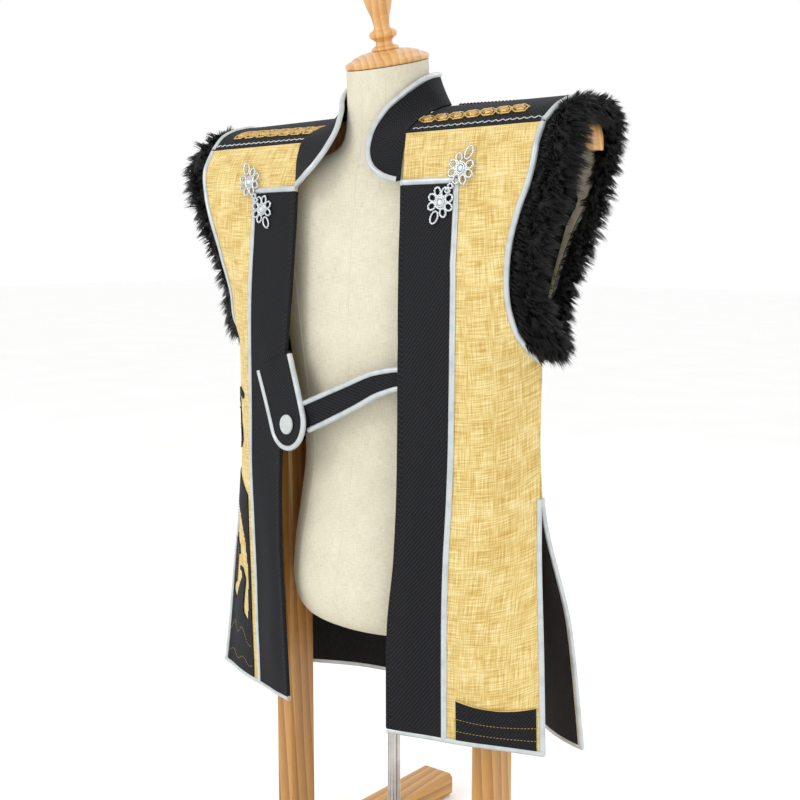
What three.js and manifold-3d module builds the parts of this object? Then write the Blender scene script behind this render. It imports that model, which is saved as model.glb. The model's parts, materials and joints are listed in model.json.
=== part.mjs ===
// A jinbaori, the sleeveless surcoat worn over armour, and what it is displayed on: a limbless dress form on a pole,
// with a wooden arm on each shoulder to carry the wide coat, and a low wooden frame with two posts. Millimetres, +Z
// up, the coat's front towards -Y and its wearer's left towards +X. The origin is on the floor, under the pole.
//
// Every cloth piece is a wall made from a grid of points. The grids come from short tables of sections: heights are
// written as a drop below the shoulder line, positive downwards, and x is written for the wearer's left side. What
// is sewn on a panel is made from that panel's own points, moved out.
import * as THREE from "three";
import { mergeVertices } from "three/addons/utils/BufferGeometryUtils.js";
import Module from "manifold-3d";

const wasm = await Module();
wasm.setup();

// ---- driving dimensions ----
const SHOULDER = 1120; // the front edge of the shoulder pieces above the floor
const HEM = 767; // drop of the front hem
const BACK_HEM = 788; // drop of the back hem at its sides
const UNDERARM = 280; // drop of the armhole's lowest point
const VENT = 452; // drop where the side vents begin
const BAND_TOP = 66; // drop of the front bands' upper end
const BAND_SHARE = 0.89; // how much of the strip inside the binding the black band covers
const GAP = 0.3; // between neighbouring pieces
const ROLL = 0.02; // how far the shoulders dip towards the wearer's right, as a slope
const PANEL = 2; // gold cloth with its interlining
const LINING = 1.2;
const LINING_TOP = 30; // the lining shows below this drop
const BAND = 1.8; // the black bands and the shoulder pieces
const APPLIQUE = 1.4;
const COLLAR = 2.4;
const BINDING = 7; // the silver edge binding's width
const BINDING_EDGE = 0.9; // its height at its two edges, and in its middle
const BINDING_MIDDLE = 2.4;
const STRAP = 2.2;
const SWING = 12; // how far the wearer's right skirt swings in at the hem
const TAB_WIDTH = 73;
const TAB_LENGTH = 126;
const TAB = { x: 119, drop: 294, lean: 23 }; // the middle of its sewn end, and its lean in degrees
const BUTTON = { radius: 13, thick: 3.5, along: TAB_LENGTH - TAB_WIDTH / 2 };
const FORM_X = -3; // the form stands a little towards the wearer's right
const POLE = { radius: 9, foot: 44.3 };
const BASE = 140; // radius
const POST = { x: 181, middle: -10, width: 36, front: -27, back: 22, top: 694 };
const FOOT = { out: 18, width: 66, high: 40, front: -365, back: 385 };
const RAIL = { front: 9.2, back: 26, low: 62, high: 102 };
const ARM = { inner: 130, front: 14, back: 46, low: -22.2, round: 9 };

const LEFT = 1; // the wearer's left, towards +X
const RIGHT = -1;
const SIDES = [LEFT, RIGHT];

const COLOURS = {
  gold: 0xd9b45c,
  black: 0x1c1c20,
  lining: 0x0e0e10,
  silver: 0xc9cfce,
  fur: 0x0c0c0e,
  linen: 0xd8cfb4,
  wood: 0xc58a45,
  pine: 0xc39350,
  steel: 0x8b8a86,
  button: 0xb9c0bd,
};

// ---- section tables ----
// Rows become objects with the named columns.
function table(columns, rows) {
  const names = columns.split(" ");
  return rows.map((row) => Object.fromEntries(names.map((name, i) => [name, row[i]])));
}

// A column of a table at any place along its key column, on a smooth curve that turns only at the rows.
function column(rows, key, name, at) {
  const last = rows.length - 1;
  const after = rows.findIndex((row) => row[key] > at);
  const i = Math.min(Math.max((after < 0 ? last : after) - 1, 0), last - 1);
  const rise = (k) => (rows[k + 1][name] - rows[k][name]) / (rows[k + 1][key] - rows[k][key]);
  const slope = (k) => {
    const [before, beyond] = [rise(Math.max(k - 1, 0)), rise(Math.min(k, last - 1))];
    return before * beyond > 0 ? (2 * before * beyond) / (before + beyond) : 0;
  };
  const [p, q] = [rows[i], rows[i + 1]];
  const span = q[key] - p[key];
  const t = Math.min(Math.max((at - p[key]) / span, 0), 1);
  const [t2, t3] = [t * t, t * t * t];
  const middle = (t3 - 2 * t2 + t) * span * slope(i) + (t3 - t2) * span * slope(i + 1);
  return (2 * t3 - 3 * t2 + 1) * p[name] + (3 * t2 - 2 * t3) * q[name] + middle;
}

// The front: its open edge, the line where the black band ends, and its outer edge, which is the armhole, then the
// side seam, then the vent. turn is the way the cloth heads at that edge, in degrees round from straight across.
const FRONT = table("drop openX openY bandX bandY sideX sideY turn", [
  [0, 80, -72, 178, -70, 281, -67, 2],
  [30, 86, -84, 178, -83, 281, -83, 3],
  [65, 90, -93, 177, -89, 275, -87, 4],
  [100, 91, -95, 178, -91, 262, -90, 6],
  [150, 92, -99, 178, -94.5, 246, -86, 20],
  [205, 94, -103, 179, -97.5, 238, -74, 36],
  [240, 96, -106, 179, -98.5, 243, -64, 46],
  [262, 97, -107, 179, -99, 249, -46, 54],
  [UNDERARM, 98, -109, 179, -99, 252, -24.2, 62],
  [370, 101, -114, 178, -99, 251, -24.2, 64],
  [VENT, 102.5, -118, 176, -101, 255, -25.6, 62],
  [530, 100.5, -121, 172.5, -102, 264, -36, 46],
  [630, 92, -125, 170, -100, 276, -47, 30],
  [HEM, 88, -122, 170, -99, 290, -61, 18],
]);

// The back: its middle, a point part way out, and its outer edge, from the shoulder pieces down to the hem.
const BACK = table("drop backY backZ midX midY midZ sideX sideY sideZ turn", [
  [-44, 76.5, 41, 64, 58.5, 42.5, 288, 59, 34.5, 0],
  [0, 106, 2, 96, 92, 2, 282, 64, 2, -8],
  [30, 114, -30, 110, 101, -30, 276, 67, -30, -14],
  [83, 121, -83, 116, 108, -83, 264, 68, -83, -24],
  [124, 122, -124, 116, 110, -124, 247, 60, -124, -36],
  [187, 120, -187, 116, 106, -187, 233, 42, -187, -50],
  [240, 117, -240, 116, 100, -240, 243, 4, -240, -51],
  [UNDERARM, 115, -280, 115, 96, -280, 252, -23.2, -280, -50],
  [370, 113, -370, 112, 94, -370, 251, -23.2, -370, -50],
  [VENT, 117, -452, 115, 96, -452, 255, -22.4, -452, -50],
  [530, 124, -534, 122, 99, -532, 274, -3, -530, -40],
  [630, 134, -638, 128, 104, -634, 284, 6, -630, -24],
  [BACK_HEM, 148, -802, 132, 112, -797, 292, 28, -788, -10],
]);

// The shoulder piece, from its front edge over the ridge to its back edge, at the neck and at the armhole.
const YOKE = table("at neckX neckY neckZ tipX tipY tipZ", [
  [0, 80.5, -72.2, 0.6, 281, -67.2, 0.6],
  [1, 79.5, -46, 16.5, 286, -42, 21],
  [2, 77, -10, 31.5, 290, -8, 33],
  [3, 74, 24, 40.5, 291, 25, 38],
  [4, 66.5, 56.5, 43.6, 289, 59, 36],
]);

// The collar from its front end to the middle of the back: the seam that joins it to the coat, and its free edge.
const STAND = table("at seamX seamY seamZ freeX freeY freeZ", [
  [0, 88.8, -96, -59, 84, -100, -60],
  [1, 87.3, -93, -47, 72, -108, -56],
  [2, 84.3, -87, -33, 56, -111, -46],
  [3, 81.3, -80, -18, 43, -106, -32],
  [4, 78.8, -71, 0, 34, -95, -13],
  [5, 77.3, -54, 13, 30, -80, 10],
  [6, 75.8, -32, 24, 36, -62, 36],
  [7, 73.8, -8, 34, 51, -42, 58],
  [8, 70.8, 18, 42, 61, -15, 76],
  [9, 60.4, 46.2, 46, 58, 12, 84],
  [10, 41.5, 63.8, 46, 46, 37, 88],
  [11, 20.6, 72.1, 45, 25, 51, 90],
  [12, 0, 75.7, 44, 0, 55, 91],
]);

// The dress form: each section's middle, half width and half depth, how square it is and how far it leans forward.
const FORM = table("drop y halfX halfY square lean", [
  [-100, -9, 55, 54, 2, 14],
  [-62, -7, 55.5, 55, 2, 8],
  [-20, -6, 58, 56, 2, 2],
  [2, -6, 66, 57, 2, 0],
  [13, -5, 84, 60, 2, 0],
  [21, -4, 124, 63, 2, 0],
  [27, -2, 176, 67, 2, 0],
  [40, -1, 212, 72, 2.1, 0],
  [62, 0, 232, 76, 2.2, 0],
  [90, 1, 240, 80, 2.2, 0],
  [120, 1, 232, 84, 2.1, 0],
  [150, 1, 216, 87, 2, 0],
  [185, 1, 199, 90, 2, 0],
  [225, 0, 184, 92, 2, 0],
  [270, 0, 172, 93, 2, 0],
  [327, 0, 158, 92, 2, 0],
  [380, 0, 146, 88, 2, 0],
  [425, 0, 142, 86, 2, 0],
  [490, 0, 147, 97, 2, 0],
  [555, 0, 152, 114, 2, 0],
  [598, 0, 153, 120, 2, 0],
  [628, 0, 149, 115, 2, 0],
  [648, 0, 138, 104, 2, 0],
  [658, 0, 120, 86, 2, 0],
]);

// The fur round an armhole: the middle of the roll and how far the hair stands out from it.
const FUR = table("x y z radius", [
  [304, -44, 13, 17],
  [312, -64, -11, 23],
  [314, -70, -43, 26],
  [306, -71, -74, 26],
  [291, -71, -110, 25],
  [274, -66, -150, 24],
  [263, -55, -192, 21],
  [264, -44, -226, 18],
  [270, -30, -254, 17],
  [271, -10, -258, 16],
  [264, 14, -232, 14.8],
  [255, 36, -196, 15.8],
  [260, 50, -158, 15.8],
  [268, 60, -120, 14.8],
  [279, 66, -78, 13.8],
  [290, 65, -34, 13.8],
  [297, 62, -2, 13.8],
  [303, 54, 18, 13.8],
  [309, 30, 27, 13.8],
  [310, 2, 27, 14.8],
  [306, -24, 26, 15.8],
]);

// The strap's middle line, from the end under the tab to the end behind the wearer's left front.
const STRAP_LINE = table("at x y z half", [
  [0, -84, -119.6, -378, 20],
  [1, -45, -118.8, -362, 20],
  [2, 15, -114.5, -335, 18.5],
  [3, 63, -110, -313, 16],
  [4, 98, -105.6, -305, 14],
  [5, 140, -99.3, -303, 13.5],
]);

// The two knotted flowers of a fastening: middle, mean radius, number of loops.
const FLOWERS = table("name x drop radius loops base thick", [
  ["upper", 180, 50, 15, 7, 5.3, 3],
  ["lower", 152, 88, 14, 7, 4.5, 3],
]);

// ---- solids from points ----
const v3 = (x, y, z) => new THREE.Vector3(x, y, z);
const steps = (from, to, count) => Array.from({ length: count + 1 }, (_, i) => from + ((to - from) * i) / count);
const radians = (degrees) => (degrees * Math.PI) / 180;

// A closed geometry from corner points and faces of three or four corners, with its faces turned out.
function geometryOf(points, faces) {
  const index = faces.flatMap(([a, b, c, d]) => (d === undefined ? [a, b, c] : [a, b, c, a, c, d]));
  let volume = 0;
  for (let i = 0; i < index.length; i += 3) {
    const [a, b, c] = [points[index[i]], points[index[i + 1]], points[index[i + 2]]];
    volume += a.dot(b.clone().cross(c));
  }
  if (volume < 0) index.reverse();
  const geometry = new THREE.BufferGeometry();
  geometry.setAttribute("position", new THREE.Float32BufferAttribute(points.flatMap((p) => [p.x, p.y, p.z]), 3));
  geometry.setIndex(index);
  geometry.computeVertexNormals();
  return geometry;
}

// A slab between two grids of points with the same rows and columns. Where four corners don't lie flat, both
// faces are split along the diagonal that lies deeper under the outer one, so that the wall keeps its thickness
// and what is laid on it stays clear.
function slab(inner, outer) {
  const [rows, columns] = [inner.length, inner[0].length];
  const far = rows * columns;
  const at = (j, i) => j * columns + i;
  const points = [...inner.flat(), ...outer.flat()];
  const faces = [];
  for (let j = 0; j < rows - 1; j++) {
    for (let i = 0; i < columns - 1; i++) {
      const corners = [at(j, i), at(j, i + 1), at(j + 1, i + 1), at(j + 1, i)];
      const [a, b, c, d] = corners.map((k) => points[far + k].clone());
      const deeper = a.add(c).sub(b.add(d)).dot(outer[j][i].clone().sub(inner[j][i])) < 0;
      const [p, q, r, s] = deeper ? corners : [...corners.slice(1), corners[0]];
      faces.push([far + p, far + q, far + r, far + s], [p, s, r, q]);
    }
  }
  const edge = (p, q) => faces.push([p, q, q + far, p + far]);
  for (let i = 0; i < columns - 1; i++) {
    edge(at(0, i), at(0, i + 1));
    edge(at(rows - 1, i + 1), at(rows - 1, i));
  }
  for (let j = 0; j < rows - 1; j++) {
    edge(at(j + 1, 0), at(j, 0));
    edge(at(j, columns - 1), at(j + 1, columns - 1));
  }
  return geometryOf(points, faces);
}

// A solid through rings of points, closed on itself or capped at both ends.
function loft(rings, closed = false) {
  const sides = rings[0].length;
  const points = rings.flat();
  const faces = [];
  for (let j = 0; j < (closed ? rings.length : rings.length - 1); j++) {
    const next = (j + 1) % rings.length;
    for (let i = 0; i < sides; i++) {
      const k = (i + 1) % sides;
      faces.push([j * sides + i, j * sides + k, next * sides + k, next * sides + i]);
    }
  }
  for (const j of closed ? [] : [0, rings.length - 1]) {
    points.push(rings[j].reduce((sum, p) => sum.add(p), v3(0, 0, 0)).divideScalar(sides));
    for (let i = 0; i < sides; i++) {
      const [a, b] = [j * sides + i, j * sides + ((i + 1) % sides)];
      faces.push(j === 0 ? [points.length - 1, b, a] : [points.length - 1, a, b]);
    }
  }
  return geometryOf(points, faces);
}

// A solid turned about the vertical line at x, y, from a table of radius and height.
function turned(x, y, profile, sides) {
  const ring = (radius, z) => steps(0, 360, sides).slice(0, sides).map((a) => v3(
    x + radius * Math.cos(radians(a)), y + radius * Math.sin(radians(a)), z,
  ));
  return loft(profile.map(([radius, z]) => ring(radius, z)));
}

// A straight wooden bar with small chamfers along it, between opposite corners; axis is the way it runs.
function bar(low, high, axis, chamfer = 3) {
  const across = ["x", "y", "z"].filter((name) => name !== axis);
  const [a, b] = across;
  const c = chamfer;
  const corners = [
    [low[a] + c, low[b]], [high[a] - c, low[b]], [high[a], low[b] + c], [high[a], high[b] - c],
    [high[a] - c, high[b]], [low[a] + c, high[b]], [low[a], high[b] - c], [low[a], low[b] + c],
  ];
  const inset = (value, ends, by) => Math.min(Math.max(value, ends[0] + by), ends[1] - by);
  const ring = (at, by) => corners.map(([u, w]) => {
    const p = v3(0, 0, 0);
    p[axis] = at;
    p[a] = inset(u, [low[a], high[a]], by);
    p[b] = inset(w, [low[b], high[b]], by);
    return p;
  });
  const [from, to] = [low[axis], high[axis]];
  return loft([ring(from, 1.2), ring(from + 1.2, 0), ring(to - 1.2, 0), ring(to, 1.2)]);
}

// ---- manifold-3d ----
function solid(geometry) {
  const bare = geometry.index ? geometry.toNonIndexed() : geometry.clone();
  bare.deleteAttribute("normal");
  bare.deleteAttribute("uv");
  const merged = mergeVertices(bare, 1e-3);
  const mesh = { numProp: 3, vertProperties: merged.attributes.position.array };
  return new wasm.Manifold(new wasm.Mesh({ ...mesh, triVerts: new Uint32Array(merged.index.array) }));
}

function fromSolid(made) {
  const mesh = made.getMesh();
  const geometry = new THREE.BufferGeometry();
  geometry.setAttribute("position", new THREE.Float32BufferAttribute(mesh.vertProperties, 3));
  geometry.setIndex(new THREE.BufferAttribute(mesh.triVerts, 1));
  geometry.computeVertexNormals();
  return geometry;
}

// ---- a panel: a grid of points that other pieces are laid on ----
// across and down are the places of the grid's columns and rows; outward is 1 or -1, the side that shows.
class Panel {
  constructor(pointAt, across, down, outward) {
    this.across = across;
    this.down = down;
    this.grid = down.map((d) => across.map((a) => pointAt(a, d)));
    this.normals = this.grid.map((row, j) => row.map((_, i) => this.normalOf(j, i, outward)));
  }

  normalOf(j, i, outward) {
    const clamp = (list, k) => list[Math.min(Math.max(k, 0), list.length - 1)];
    const row = this.grid[j];
    const over = clamp(row, i + 1).clone().sub(clamp(row, i - 1));
    const along = clamp(this.grid, j + 1)[i].clone().sub(clamp(this.grid, j - 1)[i]);
    return over.cross(along).normalize().multiplyScalar(outward);
  }

  // A point on the panel's flat facets, or beyond its edge, moved out by a distance.
  at(across, down, out = 0) {
    const cell = (list, value) => {
      const after = list.findIndex((mark) => mark > value);
      const k = Math.min(Math.max((after < 0 ? list.length : after) - 1, 0), list.length - 2);
      return [k, (value - list[k]) / (list[k + 1] - list[k])];
    };
    const [i, s] = cell(this.across, across);
    const [j, t] = cell(this.down, down);
    const blend = (rows) => {
      const upper = rows[j][i].clone().lerp(rows[j][i + 1], s);
      return upper.lerp(rows[j + 1][i].clone().lerp(rows[j + 1][i + 1], s), t);
    };
    return blend(this.grid).addScaledVector(blend(this.normals), out);
  }

  // The panel's own wall.
  wall(thick, offset = 0) {
    const shift = (by) => this.grid.map((row, j) => row.map((p, i) => p.clone().addScaledVector(this.normals[j][i], by)));
    return slab(shift(offset), shift(offset + thick));
  }

  // A piece laid on the panel: rows of [across, down] places.
  laid(rows, base, thick) {
    const layer = (out) => rows.map((row) => row.map(([a, d], i) => this.at(a, d, out(i))));
    const height = Array.isArray(thick) ? (i) => base + thick[i] : () => base + thick;
    return slab(layer(() => base), layer(height));
  }

  // The rows of the grid between two places, and the two places themselves.
  rowsBetween(from, to) {
    return [from, ...this.down.filter((d) => d > from + 3 && d < to - 3), to];
  }

  columnsBetween(from, to) {
    return [from, ...this.across.filter((a) => a > from + 0.02 && a < to - 0.02), to];
  }

  // A place that lies a distance in millimetres across from another on the same row.
  beside(across, down, distance) {
    const unit = this.at(across, down).distanceTo(this.at(across - 0.05, down)) / 0.05;
    return across + distance / unit;
  }

  // The binding down an edge at one place across; inward is -1 or 1, the way the panel lies from that edge.
  bindDown(across, from, to, inward, base) {
    const rows = this.rowsBetween(from, to).map((d) => {
      const place = typeof across === "function" ? across(d) : across;
      return [-0.8, BINDING / 2, BINDING].map((far) => [this.beside(place, d, far * inward), d]);
    });
    return this.laid(rows, base, [BINDING_EDGE, BINDING_MIDDLE, BINDING_EDGE]);
  }

  // The binding along an edge at one place down; inward is -1 or 1, the way the panel lies from that edge.
  bindAcross(down, from, to, inward, base) {
    const rows = this.columnsBetween(from, to).map((a) =>
      [-0.8, BINDING / 2, BINDING].map((far) => [a, down + far * inward]),
    );
    return this.laid(rows, base, [BINDING_EDGE, BINDING_MIDDLE, BINDING_EDGE]);
  }
}

// ---- the coat's surfaces ----
const mirror = (p, side) => v3(p.x * side, p.y, p.z);
const heading = (degrees) => v3(Math.cos(radians(degrees)), Math.sin(radians(degrees)), 0);

// A point part way from a to b on a curve that leaves a one way and reaches b another way.
function bend(a, b, leave, reach, t) {
  const pull = a.distanceTo(b) / 3;
  const [near, far] = [a.clone().addScaledVector(leave, pull), b.clone().addScaledVector(reach, -pull)];
  return new THREE.CubicBezierCurve3(a, near, far, b).getPoint(t);
}

// The wearer's left front: across is 0 at the open edge, 1 where the band ends and 2 at the outer edge.
// swing draws the outer edge of the skirt in towards the middle.
function frontPoint(across, drop, swing = 0) {
  const c = (name) => column(FRONT, "drop", name, drop);
  const z = SHOULDER - drop;
  const [open, band, side] = ["open", "band", "side"].map((name) => v3(c(`${name}X`), c(`${name}Y`), z));
  side.x -= swing * THREE.MathUtils.smoothstep(drop, VENT + 60, HEM);
  if (across <= 1) return open.lerp(band, across);
  return bend(band, side, band.clone().sub(open).normalize(), heading(c("turn")), across - 1);
}

// The wearer's left half of the back: across is 0 in the middle and 1 at the outer edge.
function backPoint(across, drop) {
  const c = (name) => column(BACK, "drop", name, drop);
  const middle = v3(0, c("backY"), SHOULDER + c("backZ"));
  const part = v3(c("midX"), c("midY"), SHOULDER + c("midZ"));
  const side = v3(c("sideX"), c("sideY"), SHOULDER + c("sideZ"));
  const through = side.clone().sub(middle).setZ(0).normalize().lerp(heading(0), 0.35).normalize();
  if (across < 0.45) return bend(middle, part, heading(0), through, across / 0.45);
  return bend(part, side, through, heading(c("turn")), (across - 0.45) / 0.55);
}

const rowPoint = (rows, key, at, start) => v3(...["X", "Y", "Z"].map((axis) => column(rows, key, start + axis, at)));

function yokePoint(across, at) {
  const p = rowPoint(YOKE, "at", at, "neck").lerp(rowPoint(YOKE, "at", at, "tip"), across);
  return p.setZ(p.z + SHOULDER);
}

function standPoint(at, share) {
  const p = rowPoint(STAND, "at", Math.abs(at), "seam").lerp(rowPoint(STAND, "at", Math.abs(at), "free"), share);
  return mirror(p.setZ(p.z + SHOULDER), at < 0 ? RIGHT : LEFT);
}

// Drops for a panel's rows: the table's own, with more between them where they are far apart.
function dropsOf(rows, from, to, widest) {
  const marks = [from, ...rows.map((row) => row.drop).filter((d) => d > from + 4 && d < to - 4), to];
  const fill = (all, mark, i) => [...all, ...steps(marks[i], mark, Math.ceil((mark - marks[i]) / widest)).slice(1)];
  return marks.slice(1).reduce(fill, [from]);
}

// ---- naming ----
const coat = new THREE.Group();
const display = new THREE.Group();

// The coat hangs a little lower on the wearer's right, less and less down to the underarm.
function settle(geometry) {
  const p = geometry.attributes.position;
  for (let i = 0; i < p.count; i++) {
    const share = THREE.MathUtils.smoothstep(p.getZ(i), SHOULDER - UNDERARM, SHOULDER);
    p.setZ(i, p.getZ(i) + ROLL * p.getX(i) * share);
  }
  geometry.computeVertexNormals();
  return geometry;
}

function put(group, name, geometry, colour, metalness = 0) {
  if (group === coat) settle(geometry);
  const material = new THREE.MeshStandardMaterial({ color: COLOURS[colour], roughness: metalness ? 0.35 : 0.8, metalness });
  const mesh = new THREE.Mesh(geometry, material);
  mesh.name = name;
  group.add(mesh);
}

const sideName = (side) => (side === LEFT ? "left" : "right");
const ON_PANEL = PANEL + GAP;
const ON_BAND = ON_PANEL + BAND + GAP;

// ---- fronts ----
const FRONT_ACROSS = [0, 0.5, ...steps(1, 2, 6)];
const FRONT_DOWN = dropsOf(FRONT, 0, HEM, 60);
const fronts = {};

for (const side of SIDES) {
  const name = sideName(side);
  const front = new Panel((a, d) => mirror(frontPoint(a, d, side === RIGHT ? SWING : 0), side), FRONT_ACROSS, FRONT_DOWN, -side);
  fronts[name] = front;
  put(coat, `front_${name}`, front.wall(PANEL), "gold");
  const bandRows = front.rowsBetween(BAND_TOP, HEM - BINDING - GAP);
  put(coat, `band_${name}`, front.laid(bandRows.map((d) => [0, 0.5, BAND_SHARE].map((a) => [a, d])), ON_PANEL, BAND), "black");
  const below = HEM - BINDING - GAP;
  const edge = (d) => front.beside(BAND_SHARE, d, GAP + 0.8);
  put(coat, `binding_band_${name}`, front.bindDown(edge, BAND_TOP - BINDING, below, 1, ON_PANEL), "silver");
  put(coat, `binding_top_${name}`, front.bindAcross(BAND_TOP - BINDING, 0, BAND_SHARE, 1, ON_PANEL), "silver");
  put(coat, `binding_armhole_${name}`, front.bindDown(2, 1, UNDERARM - 1, -1, ON_PANEL), "silver");
  put(coat, `binding_vent_${name}`, front.bindDown(2, VENT + 3, below, -1, ON_PANEL), "silver");
  put(coat, `binding_hem_${name}`, front.bindAcross(HEM, 0, 2, -1, ON_PANEL), "silver");
}

// ---- back ----
const backSide = (a) => (a < 0 ? RIGHT : LEFT);
const backAt = (a, d) => mirror(backPoint(Math.abs(a), d), backSide(a));
const back = new Panel(backAt, steps(-1, 1, 16), dropsOf(BACK, -44, BACK_HEM, 66), 1);
put(coat, "back", back.wall(PANEL), "gold");
const liningRows = back.rowsBetween(LINING_TOP, BACK_HEM - 5).map((d) => back.across.map((a) => [a, d]));
put(coat, "lining_back", back.laid(liningRows, -GAP - LINING, LINING), "lining");
put(coat, "binding_hem_back", back.bindAcross(BACK_HEM, -1, 1, -1, ON_PANEL), "silver");
for (const side of SIDES) {
  const name = sideName(side);
  const below = BACK_HEM - BINDING - GAP;
  put(coat, `binding_back_vent_${name}`, back.bindDown(side, VENT + 3, below, -side, ON_PANEL), "silver");
  put(coat, `binding_back_armhole_${name}`, back.bindDown(side, -38, UNDERARM - 2, -side, ON_PANEL), "silver");
}

// ---- black borders at the hem, with a hanging curve for their upper edge ----
function hemBorder(panel, from, to, hem, high) {
  const places = panel.columnsBetween(from, to);
  const top = (a) => hem - high + 8 * Math.sin((Math.PI * (a - from)) / (to - from));
  const low = hem - BINDING - GAP;
  const crease = panel.down.filter((d) => d > hem - high + 9 && d < low - 2);
  const rows = [top, ...crease.map((d) => () => d), () => low];
  return panel.laid(rows.map((drop) => places.map((a) => [a, drop(a)])), ON_PANEL, APPLIQUE);
}

const GOLD_FROM = 1.004; // where the gold shows again beside the band's binding
put(coat, "border_left", hemBorder(fronts.left, GOLD_FROM, 1.925, HEM, 58), "black");
put(coat, "border_back", hemBorder(back, -0.97, 0.97, BACK_HEM, 60), "black");

// ---- rolling cloud cut from black cloth, on the wearer's right front ----
// Rows of x, drop and radius; each lobe is a run of circles joined up, and the eyes are cut out again.
const CLOUD_LOBES = [
  [[176, 742, 58], [236, 742, 76], [300, 742, 70]],
  [[252, 470, 14], [222, 486, 20], [194, 512, 22], [178, 556, 18], [172, 606, 16], [174, 710, 20]],
  [[290, 660, 44], [268, 612, 22], [252, 584, 13], [238, 570, 9], [226, 574, 6], [224, 586, 4]],
  [[228, 672, 22], [214, 640, 13], [204, 622, 8], [208, 610, 5], [218, 608, 4]],
];
const CLOUD_EYES = [[[250, 650, 10], [240, 636, 5]]];
const CURL_LOBES = [
  [[196, 350, 5], [207, 344, 5], [218, 350, 5], [223, 362, 5], [219, 374, 6], [208, 380, 4]],
  [[219, 374, 6], [213, 390, 6], [205, 400, 6], [202, 414, 5], [209, 424, 4]],
  [[213, 390, 6], [228, 398, 7], [240, 392, 5], [246, 380, 4]],
];

function runsOf(rows) {
  const { CrossSection } = wasm;
  const circles = (row) => row.map(([x, drop, radius]) => CrossSection.circle(radius, 16).translate([x, -drop]));
  const runs = rows.flatMap((row) => circles(row).slice(1).map((c, i) => CrossSection.hull([circles(row)[i], c])));
  return CrossSection.union(runs);
}

const gold = fronts.right;
const goldColumns = gold.columnsBetween(GOLD_FROM, 1.925);
const sheetRows = gold.rowsBetween(325, HEM - BINDING - GAP).map((d) => goldColumns.map((a) => [a, d]));
const sheet = solid(gold.laid(sheetRows, ON_PANEL, APPLIQUE));
const CUTS = [["cloud_right", runsOf(CLOUD_LOBES).subtract(runsOf(CLOUD_EYES))], ["curl_right", runsOf(CURL_LOBES)]];
for (const [name, outline] of CUTS) {
  const cutter = outline.extrude(200).rotate([90, 0, 0]).translate([0, 60, SHOULDER]).mirror([1, 0, 0]);
  put(coat, name, fromSolid(sheet.intersect(cutter)), "black");
}

// ---- shoulder pieces and collar ----
for (const side of SIDES) {
  const yoke = new Panel((a, at) => mirror(yokePoint(a, at), side), steps(0, 1, 4), steps(0, 4, 8), side);
  put(coat, `yoke_${sideName(side)}`, yoke.wall(BAND), "black");
}

const COLLAR_HALF = steps(0.2, 12, 17).slice(0, -1);
const collarAcross = [...COLLAR_HALF.map((at) => at - 12), 0, ...COLLAR_HALF.slice().reverse().map((at) => 12 - at)];
const collarAt = (a, share) => standPoint(a < 0 ? -12 - a : 12 - a, share);
const collar = new Panel(collarAt, collarAcross, steps(0, 1, 3), -1);
put(coat, "collar", collar.wall(COLLAR), "black");
const collarRows = collarAcross.map((a) => {
  const high = collar.at(a, 0).distanceTo(collar.at(a, 1));
  const inset = Math.min(BINDING, high * 0.7) / high;
  return [1 + 0.8 / high, 1 - inset / 2, 1 - inset].map((share) => [a, share]);
});
put(coat, "binding_collar", collar.laid(collarRows, COLLAR + GAP, [BINDING_EDGE, BINDING_MIDDLE, BINDING_EDGE]), "silver");

// ---- fur ----
// The roll's radius rises and falls a little along it, as brushed fur does.
for (const side of SIDES) {
  const path = new THREE.CatmullRomCurve3(FUR.map((p) => v3(p.x * side, p.y, SHOULDER + p.z)), true, "centripetal");
  const rings = steps(0, 1, 32).slice(0, -1).map((t) => {
    const rowAt = t * FUR.length;
    const [i, part] = [Math.floor(rowAt), rowAt % 1];
    const radius = FUR[i].radius * (1 - part) + FUR[(i + 1) % FUR.length].radius * part;
    const along = path.getTangent(t);
    const out = v3(1, 0, 0).addScaledVector(along, -along.x).normalize();
    const other = along.cross(out);
    const size = radius * (1 - 0.05 * (1 + Math.sin(t * 57 + 1)));
    return steps(0, 360, 8).slice(0, 8).map((a) => {
      const p = path.getPoint(t).addScaledVector(out, size * Math.cos(radians(a)));
      return p.addScaledVector(other, size * Math.sin(radians(a)));
    });
  });
  put(coat, `fur_${sideName(side)}`, loft(rings, true), "fur");
}

// ---- strap, tab and button ----
function strapPoint(at, across) {
  const c = (name) => column(STRAP_LINE, "at", name, at);
  const next = ["x", "z"].map((name) => column(STRAP_LINE, "at", name, at + 0.1) - column(STRAP_LINE, "at", name, at - 0.1));
  const up = new THREE.Vector2(-next[1], next[0]).normalize().multiplyScalar(c("half") * across);
  return v3(c("x") + up.x, c("y"), SHOULDER + c("z") + up.y);
}

const strap = new Panel((a, at) => strapPoint(at, a), [-1, 0, 1], steps(0.1, 4.9, 10), 1);
put(coat, "strap", strap.wall(STRAP), "black");
for (const [name, edge] of [["upper", 1], ["lower", -1]]) {
  put(coat, `binding_strap_${name}`, strap.bindDown(edge, 0.1, 4.9, -edge, STRAP + GAP), "silver");
}

// A place on the tab, which lies on the wearer's right band and runs on past its edge.
function tabPoint(across, along, out) {
  const [sin, cos] = [Math.sin(radians(TAB.lean)), Math.cos(radians(TAB.lean))];
  const x = TAB.x - along * sin + across * cos;
  const drop = TAB.drop + along * cos + across * sin;
  const [open, band] = [column(FRONT, "drop", "openX", drop), column(FRONT, "drop", "bandX", drop)];
  return fronts.right.at((x - open) / (band - open), drop, ON_BAND + out);
}

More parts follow.
